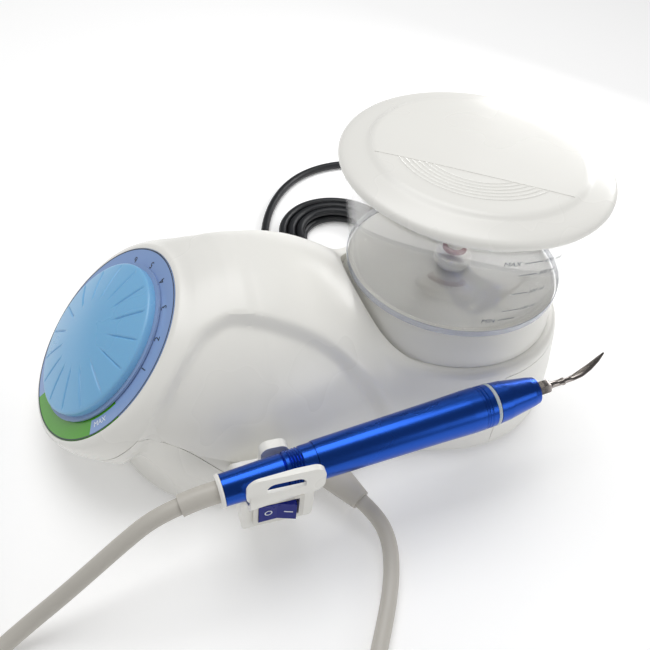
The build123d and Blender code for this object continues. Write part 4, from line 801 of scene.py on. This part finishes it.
# Power dial: knob with engraved lines, print on the scale

DIAL_CENTRE = at(-165.15, 0, 52.3)
DIAL_RIGHT = Vector((0, -1, 0))
DIAL_UP, DIAL_OUT = (Vector(axis) for axis in fan_axes(FACE_TILT)[1:])
RING_TOP = 0.2  # height of the scale's face over the dial's centre
RING_RADIUS = 45.45
RING_STEP = 3  # degrees between a band's rows
TEXT_LIFT = 0.29  # of the letters over the dial's centre

KNOB_RADIUS = 35.6
KNOB_RIM = 5.1  # heights of the rim, and of the dome over it
KNOB_DOME = 5.0
DOME_EDGE = 34.6  # radius where the dome turns into the rounded rim
KNOB_LINES = 16
KNOB_STEPS = 640
LINE_START = 0.5  # turn of the first line from the level
LINE_DEPTH = 0.7
LINE_HALF = 0.62
LINE_FROM, LINE_TO = 17, 34  # radii
FADE_IN, FADE_OUT = 2, 1.5  # lengths over which a line grows deep and ends
SKIN = 0.3  # only the knob's faces this near to its dome are engraved


def knob_height(radius):
    """Height of the knob's dome at a radius."""
    crown = (KNOB_RADIUS ** 2 + KNOB_DOME ** 2) / (2 * KNOB_DOME)
    return KNOB_RIM + KNOB_DOME - crown + sqrt(crown ** 2 - radius ** 2)


def knob():
    """The knob's mesh, with straight lines engraved in its dome."""
    top = [(r, knob_height(r)) for r in
           [0.0, *(2 + 1.6 * i for i in range(20)), 33.9, DOME_EDGE]]
    edge = [(35.15, KNOB_RIM - 0.05), (35.5, KNOB_RIM - 0.4), (KNOB_RADIUS, KNOB_RIM - 0.9),
            (KNOB_RADIUS, 1.7), (KNOB_RADIUS, 1.65), (33.4, 1.65), (33.4, 3.4), (10, 7.0),
            (7.0, 7.2), (7.0, -3.4), (0.0, -3.4)]
    work = spun(top + edge, KNOB_STEPS)
    spacing = 360 / KNOB_LINES
    for vert in work.verts:
        radius = hypot(vert.co.x, vert.co.y) / MM
        if (not LINE_FROM < radius < LINE_TO
                or vert.co.z < (knob_height(min(radius, DOME_EDGE)) - SKIN) * MM):
            continue
        turn = (degrees(atan2(vert.co.y, vert.co.x)) - LINE_START) % spacing
        off = radians(min(turn, spacing - turn)) * radius
        fade = min((radius - LINE_FROM) / FADE_IN, (LINE_TO - radius) / FADE_OUT, 1)
        vert.co.z -= LINE_DEPTH * MM * fade * max(0.0, 1 - off / LINE_HALF)
    move(work, frame_at(DIAL_CENTRE, DIAL_RIGHT, DIAL_UP))
    return built("dial_knob_engraved", work, 50)


piece("dial_knob_engraved", knob(), "knob_blue", "dial", ("dial_knob",))


def from_dial(angle):
    """The direction from the dial's centre at an angle from its right."""
    return DIAL_RIGHT * cos(radians(angle)) + DIAL_UP * sin(radians(angle))


def on_ring(radius, angle, lift):
    """A place on the scale, lift millimetres over the dial's centre."""
    return DIAL_CENTRE + from_dial(angle) * radius * MM + DIAL_OUT * lift * MM


def ring_text(name, text, size, radius, angle, material):
    """Letters on the scale whose tops point to the dial's centre."""
    inwards = -from_dial(angle)
    work = lettering(text, size)
    move(work, frame_at(on_ring(radius, angle, TEXT_LIFT), inwards.cross(DIAL_OUT), inwards))
    piece(name, built(name, work, 20), "scale_blue", material=material)


NUMBER_ANGLES = (30.5, 49.9, 70.9, 92.7, 114.2, 135.6)
for count, angle in enumerate(NUMBER_ANGLES, 1):
    ring_text(f"dial_number_{count}", str(count), 4.6, 39.6, angle, INK_DARK)
ring_text("dial_mark_max", "MAX", 3.4, 41.2, -11.5, INK_PALE)


def ring_band(name, inner, outer, first, last, low, high, slot, material=None):
    """A flat band of the ring between two radii, two angles and two heights."""
    steps = max(2, round(abs(last - first) / RING_STEP))
    work = bmesh.new()
    rows = []
    for i in range(steps + 1):
        angle = first + (last - first) * i / steps
        rows.append([work.verts.new(on_ring(r, angle, h)) for r, h in
                     ((inner, low), (outer, low), (outer, high), (inner, high))])
    for a, b in zip(rows, rows[1:]):
        for i in range(4):
            work.faces.new((a[i], a[(i + 1) % 4], b[(i + 1) % 4], b[i]))
    if abs(last - first) < 360:
        work.faces.new(rows[0])
        work.faces.new(rows[-1])
    piece(name, built(name, work, 30), slot, material=material)


PRINT_EDGE = RING_RADIUS - 0.05
PRINT_LOW = RING_TOP + 0.01
GREEN_FROM, GREEN_TO = -92.0, 8.0
INNER_EDGE = (31.0, 36.95)  # radii
INNER_HEIGHTS = (-1.2, 0.1)
# the blue of the scale covers the outer part of the green sector, under the word MAX
ring_band("scale_blue_overlap", 38.6, PRINT_EDGE, -19.5, 4.0, PRINT_LOW, RING_TOP + 0.06,
          "scale_blue")
# the scale's translucent inner edge, which shows between the knob and the numbers
ring_band("scale_inner_blue", *INNER_EDGE, GREEN_TO, GREEN_FROM + 360, *INNER_HEIGHTS,
          "scale_blue")
ring_band("scale_inner_green", *INNER_EDGE, GREEN_FROM, GREEN_TO, *INNER_HEIGHTS, "scale_green")
ring_band("scale_edge_line", RING_RADIUS - 0.5, PRINT_EDGE, 0, 360, PRINT_LOW, RING_TOP + 0.1,
          "scale_blue", material=INK_DARK)


# Tank: lid with its thumb ribs, graduations on the bowl

ON_TANK_AXIS = Matrix.Translation(at(0, 0, 0))
LID_STEPS = 256
# radius and height of the lid's nearly flat top
PLATEAU = ((0, 131.4), (12, 131.38), (24, 131.3), (36, 131.15), (44.5, 130.95))
THUMB_SIDE = -124.3  # direction of the thumb rest from the lid's middle
CREASE_AWAY = 19.7  # distance of the crease from the lid's middle
CREASE_HALF = 41.4
CREASE_WIDE = 0.7
CREASE_DOWN = 0.32  # from the plateau to the crease's middle
CREASE_PARTS = 24
RIBS = (26.0, 28.2, 30.4, 32.6, 34.8, 37.0)
RIB_OUTLINE = ((-0.6, -0.5), (0.6, -0.5), (0.4, 0.12), (0.0, 0.3), (-0.4, 0.12))
RIB_SHORT = 1.5  # degrees between a rib's end and the crease
RIB_STEPS = 48


def plateau_height(radius):
    """Height of the lid's top at a radius."""
    return float(np.interp(radius, *zip(*PLATEAU)))


def thumb_rest(work):
    """Low ribs in arcs in front of a crease, on the lid's plateau."""
    for radius in RIBS:
        top = plateau_height(radius)
        half = degrees(acos(CREASE_AWAY / radius)) - RIB_SHORT
        verts = [work.verts.new(((radius + w) * MM, 0, (top + h) * MM)) for w, h in RIB_OUTLINE]
        turn = Matrix.Rotation(radians(THUMB_SIDE - half), 4, "Z")
        bmesh.ops.transform(work, matrix=turn, verts=verts)
        bmesh.ops.spin(work, geom=[*verts, work.faces.new(verts)], cent=(0, 0, 0),
                       axis=(0, 0, 1), angle=radians(2 * half), steps=RIB_STEPS)
    crease = bar(CREASE_WIDE, 2 * CREASE_HALF, 1.0)
    for i in range(1, CREASE_PARTS):
        bisect(crease, (0, (2 * i / CREASE_PARTS - 1) * CREASE_HALF * MM, 0), (0, 1, 0))
    for vert in crease.verts:
        radius = hypot(vert.co.y / MM, CREASE_AWAY)
        vert.co.z += (plateau_height(radius) - CREASE_DOWN) * MM
    turn = Matrix.Rotation(radians(THUMB_SIDE), 4, "Z")
    move(crease, turn @ Matrix.Translation((CREASE_AWAY * MM, 0, 0)))
    join(work, crease)


def lid():
    """The lid's mesh: a plateau, a sloping brim and a collar inside the bowl."""
    outline = [(0, 129.0), *PLATEAU,
               (45.9, 130.8), (47.2, 130.2), (48.2, 129.5), (49.2, 129.2), (51, 128.9),
               (55, 128.1), (57.6, 127.4), (58.9, 126.8), (59.6, 126.1), (60.0, 125.2),
               (60.0, 124.2), (59.8, 123.7), (59.3, 123.6), (53.9, 123.6), (53.7, 123.4),
               (53.45, 118.5), (53.2, 118.15), (51.8, 118.15), (51.5, 118.5), (51.4, 123.6),
               (47.9, 128.9)]
    work = spun(outline, LID_STEPS)
    thumb_rest(work)
    move(work, ON_TANK_AXIS)
    return built("lid_moulded", work, 40)


piece("lid_moulded", lid(), "housing_white", "lid", ("tank_lid",))

BOWL_LOW = (50.24, 68.7)  # radius and height of the wall's outside, at its foot and mouth
BOWL_HIGH = (57.6, 123.3)
BOWL_SLOPE = (BOWL_HIGH[0] - BOWL_LOW[0]) / (BOWL_HIGH[1] - BOWL_LOW[1])
BOWL_LIFT = 0.05  # of the print over the wall
LINES_ANGLE, WORDS_ANGLE, AMOUNTS_ANGLE = -89.6, -98.8, -80.2
AMOUNT_DROP = 0.2  # of the amounts below their lines


def on_bowl(work, angle, height):
    """Bends a flat drawing round the bowl: x runs round it, y up it."""
    for vert in work.verts:
        x, y, z = (c / MM for c in vert.co)
        up = height + y
        radius = BOWL_LOW[0] + BOWL_SLOPE * (up - BOWL_LOW[1]) + BOWL_LIFT + z
        around = radians(angle) + x / radius
        vert.co = at(radius * cos(around), radius * sin(around), up)
    return work


# the foot band's pale bluish white paints the bright reflection of the bowl's thick rim
foot_band = spun([(50.5, 68.9), (50.95, 69.05), (51.05, 70.2), (50.9, 71.9), (50.5, 71.9)], 192)
move(foot_band, ON_TANK_AXIS)
piece("bowl_foot_band", built("bowl_foot_band", foot_band, 30), "clear", "tank",
      material=CLEAR_EDGE_PAINTED_REFLECTION)

GRADUATIONS = (("MAX", "400 ml", 114.4), (None, "300 ml", 107.3), (None, "200 ml", 95.8),
               (None, "100 ml", 85.0), ("MIN", None, 79.2))


def graduation(name, work, angle, height, smooth_angle):
    """A grey print on the bowl."""
    piece(name, built(name, on_bowl(work, angle, height), smooth_angle), "clear", "tank",
          material=INK_GREY)


for index, (word, amount, height) in enumerate(GRADUATIONS, 1):
    graduation(f"graduation_line_{index}", bar(8.0, 0.45), LINES_ANGLE, height, 30)
    if word:
        graduation(f"graduation_word_{index}", lettering(word, 3.4), WORDS_ANGLE, height, 20)
    if amount:
        graduation(f"graduation_amount_{index}", lettering(amount, 3.0), AMOUNTS_ANGLE,
                   height - AMOUNT_DROP, 20)


# Rocker switch: O and I on its two faces

SWITCH_Z = 30.0
SWITCH_FRONT = -120  # along Y, a place in front of the switch


def rocker_mark(name, work, x):
    """Lays a drawing on the rocker's face in front of a place along the switch."""
    rocker = frame["nodes"]["switch_rocker"]
    hit, place, normal, _ = rocker.ray_cast(at(x, SWITCH_FRONT, SWITCH_Z), Vector((0, 1, 0)))
    if hit:
        right = normal.cross(Vector((0, 0, -1)))
        move(work, frame_at(place + normal * INK * MM, right, (0, 0, 1)))
        piece(name, built(name, work, 20), "rocker_blue", "rocker", material=INK_PALE)


rocker_mark("switch_mark_off", lettering("O", 4.4), -112.4)
rocker_mark("switch_mark_on", bar(3.6, 0.6), -104.4)


# Handpiece: grooves and the thin grey ring near its nose, steel tip

HANDPIECE_TAIL = at(-130.0, -84.5, 46.6)
HANDPIECE_LINE = at(15.0, -73.5, 55.6) - HANDPIECE_TAIL


def on_handpiece(name, work, slot, stands_for=()):
    """Sets a bmesh on the handpiece: its Z along the handpiece, its Y upwards."""
    turn = HANDPIECE_LINE.to_track_quat("Z", "Y").to_matrix().to_4x4()
    move(work, Matrix.Translation(HANDPIECE_TAIL) @ turn)
    piece(name, built(name, work, 40), slot, "handpiece", stands_for)


on_handpiece("handpiece_grooves",
             spun([(7.8, 111.7), (9.3, 111.7), (9.3, 112.2), (9.02, 112.5), (9.02, 112.8),
                   (9.3, 113.1), (9.28, 113.7), (9.0, 114.0), (9.0, 114.3), (9.27, 114.6),
                   (9.2, 116.9), (7.8, 116.9)], 96), "handpiece_blue",
             ("handpiece_light_ring",))
on_handpiece("handpiece_ring",
             spun([(7.8, 117.0), (9.2, 117.0), (9.3, 117.15), (9.27, 118.35), (9.15, 118.5),
                   (7.8, 118.5)], 96), "light_ring")


# distance along, rise, half width and half thickness of the tip's curved blade
BLADE = ((155.0, 0.0, 1.3, 1.3), (157.0, 0.0, 1.25, 1.2), (160.0, 0.3, 1.5, 0.95),
         (163.5, 1.7, 1.85, 0.8), (167.0, 4.5, 1.7, 0.7), (170.0, 8.2, 1.25, 0.55),
         (172.3, 12.0, 0.4, 0.3))


def tip():
    """The steel tip: a six-sided base, a turned shank and a flat blade that curves upwards."""
    work = spun([(0, 140.2), (3.0, 140.2), (3.35, 140.7), (3.35, 146.4), (2.7, 147.4),
                 (0, 147.4)], 6)
    join(work, spun([(0, 147.0), (2.1, 147.0), (1.55, 148.8), (1.45, 150.5), (1.45, 154.0),
                     (1.75, 154.4), (1.75, 155.0), (1.4, 155.6), (0, 155.6)], 32))
    blade = bmesh.new()
    loops = []
    for index, (along, rise, wide, thick) in enumerate(BLADE):
        back, ahead = BLADE[max(index - 1, 0)], BLADE[min(index + 1, len(BLADE) - 1)]
        lean = atan2(ahead[1] - back[1], ahead[0] - back[0])
        place = (Matrix.Translation(Vector((0, rise, along)) * MM)
                 @ Matrix.Rotation(-lean, 4, "X") @ Matrix.Diagonal((wide, thick, 1, 1)))
        ends = index in (0, len(BLADE) - 1)
        ring = bmesh.ops.create_circle(blade, cap_ends=ends, radius=MM, segments=24,
                                       matrix=place)["verts"]
        loops.append({e for v in ring for e in v.link_edges})
    for a, b in zip(loops, loops[1:]):
        bmesh.ops.bridge_loops(blade, edges=list(a | b))
    join(work, blade)
    return work


on_handpiece("tip_polished", tip(), "steel", ("scaler_tip",))


# Bracket: the solid's own mesh, with a lower prong and an open window in its guard

PRONG_DROP = 2.6  # the prong behind the handpiece ends this much lower
PRONG_Z = 45  # its vertices lie above this height and between these two in Y
PRONG_Y = (-74, -68.5)
WINDOW_SIZE = (15.5, 7.6, 11.4)
WINDOW_MIDDLE = (-107.05, -88.2, 51.3)
HOLDER_GAP = 1e-6  # metres: vertices of its mesh closer than this are one

holder = bmesh.new()
holder.from_mesh(frame["nodes"]["handpiece_holder"].data)
bmesh.ops.remove_doubles(holder, verts=holder.verts, dist=HOLDER_GAP)
for vert in holder.verts:
    if (vert.co.z > PRONG_Z * MM
            and at(0, PRONG_Y[0], 0).y < vert.co.y < at(0, PRONG_Y[1], 0).y):
        vert.co.z -= PRONG_DROP * MM
window = bar(*WINDOW_SIZE)
move(window, Matrix.Translation(at(*WINDOW_MIDDLE)))
piece("holder_open_guard", built("holder_open_guard", cut(holder, window), 30),
      "housing_white", stands_for=("handpiece_holder",))


# Studio

WHITE = colour("#ffffff")
FLOOR_SIZE = 20.0  # metres, as all lengths in this section
FLOOR_Z = -0.0002
FLOOR = surface("studio_floor_white", "#ffffff", 0.9, cloud=0.0, wear=0.0,
                **{"Emission Color": WHITE, "Emission Strength": 0.12})
floor_work = bmesh.new()
bmesh.ops.create_grid(floor_work, x_segments=1, y_segments=1, size=FLOOR_SIZE)
floor = as_object("floor", floor_work)
floor.data.materials.append(FLOOR)
floor.location.z = FLOOR_Z


def area_light(name, place, target, size, power):
    """A white rectangular lamp at a place, turned towards a target."""
    data = bpy.data.lights.new(name, "AREA")
    data.shape = "RECTANGLE"
    data.size, data.size_y = size
    data.energy = power
    light = linked(name, data)
    light.location = place
    light.rotation_euler = (Vector(target) - Vector(place)).to_track_quat("-Z", "Y").to_euler()


area_light("key_overhead", (-0.02, 0.3, 1.1), (0, 0, 0.05), (0.9, 0.7), 6.1)
area_light("fill_front", (0.7, -0.8, 0.4), (0.07, 0, 0.07), (0.6, 0.4), 1.3)
area_light("tank_glow", (0.34, 0.22, 0.19), (0.07, 0.01, 0.08), (0.25, 0.1), 0.5)

world = bpy.data.worlds.new("studio")
world.use_nodes = True
tree = world.node_tree
tree.nodes.clear()
rays = add(tree, "ShaderNodeLightPath")
# what lights the scene, what gloss reflects (a dimmer dome, as in a dark room with a lamp
# overhead), and what the camera sees
dome, dim, seen = (add(tree, "ShaderNodeBackground", {"Color": WHITE, "Strength": strength})
                   for strength in (0.44, 0.16, 1.0))
unseen = add(tree, "ShaderNodeMixShader", {"Fac": rays.outputs["Is Glossy Ray"],
                                           1: dome.outputs["Background"],
                                           2: dim.outputs["Background"]})
chosen = add(tree, "ShaderNodeMixShader", {"Fac": rays.outputs["Is Camera Ray"],
                                           1: unseen.outputs["Shader"],
                                           2: seen.outputs["Background"]})
add(tree, "ShaderNodeOutputWorld", {"Surface": chosen.outputs["Shader"]})
bpy.context.scene.world = world

bpy.context.scene.view_settings.view_transform = "Standard"
bpy.context.scene.view_settings.look = "None"
bpy.context.scene.view_settings.exposure = 0
bpy.context.scene.view_settings.gamma = 1
